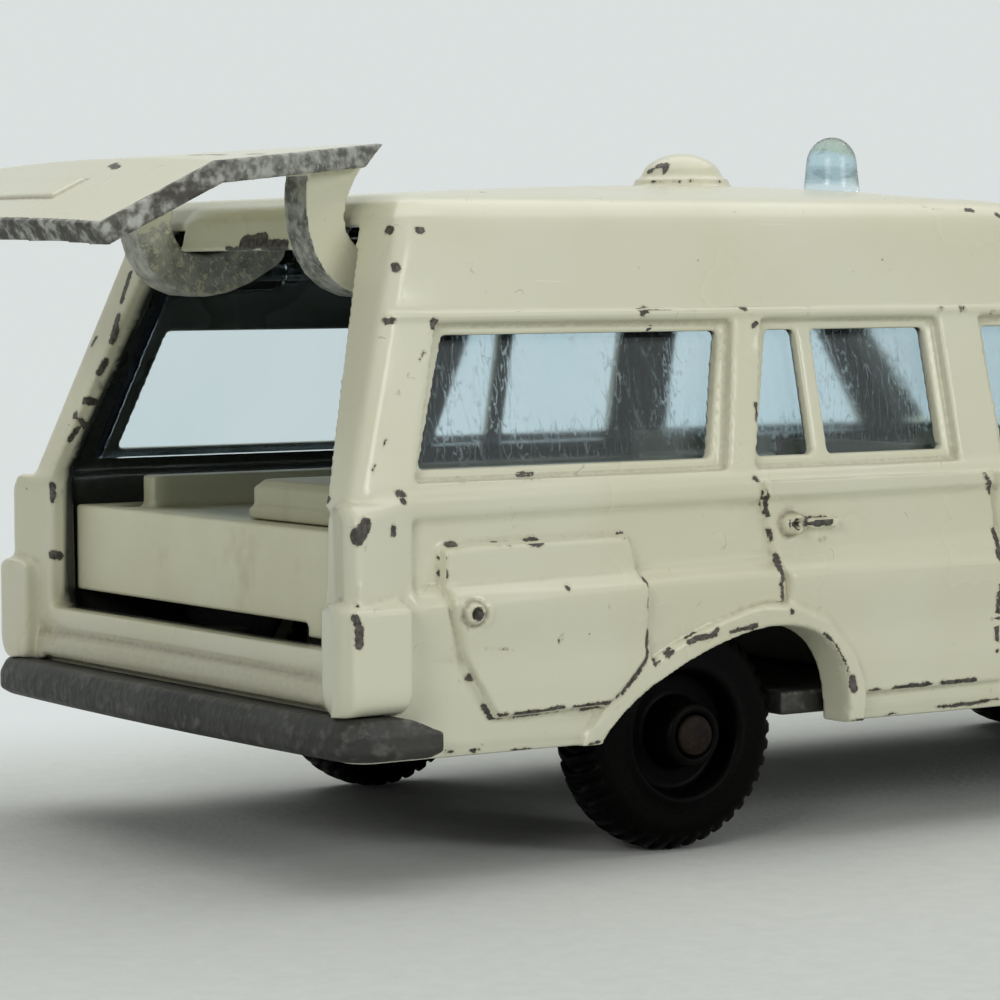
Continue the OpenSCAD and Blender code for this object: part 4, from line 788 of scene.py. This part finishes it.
def gate_marks(points, normals):
    """Bare metal on the panel's side edges, its foot and the arms' edges; the far arm is painted paler as
    painted light.
    Dirt lies in a line round the number's place."""
    x, y, z = shut(points).T
    panel_half = np.interp(z, [9.4, 15.6, 25.3], [11.55, 11.55, 8.3])
    depth = np.interp(z, [9.4, 15.45, 24.4], [1.0, 1.35, 4.5])
    rim = 1 - step_up(panel_half - np.abs(y), 0.12, 0.42)
    foot = 0.75 * (1 - step_up(z, 9.8, 10.15))
    arm = step_up(x - depth, 1.15, 1.5) * (np.abs(np.abs(y) - 7.3) < 1.2)
    strip = 1 - step_up(np.abs(normals[:, 1]), 0.45, 0.8)
    worn_side = 0.46 * step_up(-y, -1, 1) * step_up(-z, -22.0, -19.0)
    worn_side += 0.52 * step_up(y, -1, 1) * step_up(x, 5.2, 7.0)
    inner = 0.35 * step_up(x - depth, 0.55, 0.8)
    plate_off = np.minimum(plate_half - np.abs(y), np.minimum(z - plate_low, plate_high - z))
    plate_line = 0.9 * np.exp(-((plate_off + 0.02) / 0.07) ** 2) * (x < 1.9)
    return {"bare": np.maximum.reduce([rim, foot, arm * np.maximum(0.9 * strip, worn_side), inner]),
            "tarnish": step_up(-z, -16.6, -14.8) * (1 - arm), "soil": plate_line,
            # Painted light: the far arm is marked to be made paler.
            "pale": 0.9 * arm * (y > 0)}


def gate_chip_gap(points, normals):
    """Gap to the nearest chip of the tailgate, measured in its closed place."""
    return capsule_gap(shut(points), gate_chips)


lifting_tailgate = soft_piece("lifting_tailgate", "tailgate", "tailgate", enamel, 0.09, 14, 150000,
                              gate_shaped, gate_chip_gap, gate_marks)


# Wheels: four black plastic mouldings, each one turned profile with blocks pressed round the tread.
# The plastic is satin black, with a faint mottle.
def turned_loop(profile, samples, softness):
    """Closed profile (radius, out) sampled evenly along its length, with its corners rounded by averaging."""
    loop = np.vstack([profile, profile[:1]])
    length = np.concatenate([[0], np.cumsum(np.hypot(*np.diff(loop, axis=0).T))])
    at = np.linspace(0, length[-1], samples, endpoint=False)
    even = np.stack([np.interp(at, length, loop[:, k]) for k in (0, 1)], 1)
    for _ in range(softness):
        even = 0.5 * even + 0.25 * (np.roll(even, 1, 0) + np.roll(even, -1, 0))
    return even


wheel_profile = np.array(
    [[0.65, -1.5], [3.6, -1.5], [4.65, -1.28], [4.93, -0.68], [5.0, 0], [4.93, 0.68], [4.65, 1.23],
     [4.1, 1.5], [3.05, 1.5], [2.9, 1.65], [2.75, 1.65], [2.6, 1.35], [2.45, 0.5], [1.5, 0.5],
     [1.35, 2.05], [1.2, 2.2],
     [0.95, 2.2], [0.95, 1.95], [0.65, 1.95]])
loop = turned_loop(wheel_profile, 110, 1)
turn = np.linspace(0, 2 * math.pi, 400, endpoint=False)
wheel_y, tread_blocks, block_deep = 11.7, 40, 0.22
black_plastic, tree, shown = new_material("black_plastic")
tone = placed(tree, mottle, {"Broad": 0.3, "Fine": 5.0})
black = between(tree, rise_from(tree, tone["Quick"], 0.5, 0.8),
                (0.001, 0.001, 0.0009, 1), (0.004, 0.0037, 0.003, 1))
skin = put(tree, "ShaderNodeBsdfPrincipled", {
    "Base Color": black, "Roughness": calc(tree, "MULTIPLY_ADD", tone["Quick"], 0.2, 0.3),
    "Specular IOR Level": 0.04, "Normal": bumped(tree, tone["Quick"], 0.3, 0.04)})
tree.links.new(skin.outputs["BSDF"], shown.inputs["Surface"])
for end_name in ("front", "rear"):
    for side, out in (("left", 1), ("right", -1)):
        node = "wheel_%s_%s" % (end_name, side)
        low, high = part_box(node)
        middle = (low + high) / 2 / MM
        slant = tread_blocks * turn[:, None] + 2.2 * np.abs(loop[None, :, 1])
        blocks = 0.5 + 0.5 * np.tanh(6 * np.sin(slant) + 1.5)
        outer = np.clip((loop[None, :, 0] - 4.3) / 0.5, 0, 1)
        radius = loop[None, :, 0] - block_deep * (1 - blocks) * outer
        points = np.stack([middle[0] + radius * np.cos(turn)[:, None],
                           np.broadcast_to(out * wheel_y + out * loop[None, :, 1], radius.shape),
                           middle[2] + radius * np.sin(turn)[:, None]], -1).reshape(-1, 3)
        faces = grid_faces(len(turn), len(loop), True, True)
        wheel = mesh_piece("moulded_" + node, points, faces[:, ::-1] if out > 0 else faces, black_plastic)
        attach(wheel, node)
        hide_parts(node)

# Axles: two plain steel pins, rusty, with hammered heads that keep the wheels on.
# Each is one profile turned about the pin's own line.
rusty_steel, tree, shown = new_material("rusty_steel")
tone = placed(tree, mottle, {"Broad": 0.9, "Fine": 6.0})
rust = between(tree, tone["Slow"], (0.006, 0.0042, 0.003, 1), (0.015, 0.009, 0.0055, 1))
rust = between(tree, rise_from(tree, tone["Quick"], 0.55, 0.75), rust, (0.035, 0.021, 0.012, 1))
skin = put(tree, "ShaderNodeBsdfPrincipled", {
    "Base Color": rust, "Roughness": calc(tree, "MULTIPLY_ADD", tone["Quick"], 0.3, 0.45), "Metallic": 0.3,
    "Specular IOR Level": 0.15, "Normal": bumped(tree, tone["Quick"], 0.6, 0.06)})
tree.links.new(skin.outputs["BSDF"], shown.inputs["Surface"])
for end_name in ("front", "rear"):
    low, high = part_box(end_name + "_axle")
    middle, reach = (low + high) / 2 / MM, (high[1] - low[1]) / 2 / MM
    half = np.array([[0.0, 0.0], [0.35, 0.01], [0.62, 0.05], [0.78, 0.12], [0.84, 0.22], [0.84, 0.36],
                     [0.8, 0.4], [0.6, 0.4]])
    half[:, 1] = reach - half[:, 1]
    pin = np.vstack([half, (half * (1, -1))[::-1]])
    turn48 = np.linspace(0, 2 * math.pi, 48, endpoint=False)
    points = np.stack([middle[0] + pin[None, :, 0] * np.cos(turn48)[:, None],
                       np.broadcast_to(pin[None, :, 1], (48, len(pin))),
                       middle[2] + pin[None, :, 0] * np.sin(turn48)[:, None]], -1).reshape(-1, 3)
    axle = mesh_piece("steel_%s_axle" % end_name, points, grid_faces(48, len(pin), True, False), rusty_steel)
    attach(axle, end_name + "_axle")
    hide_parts(end_name + "_axle")
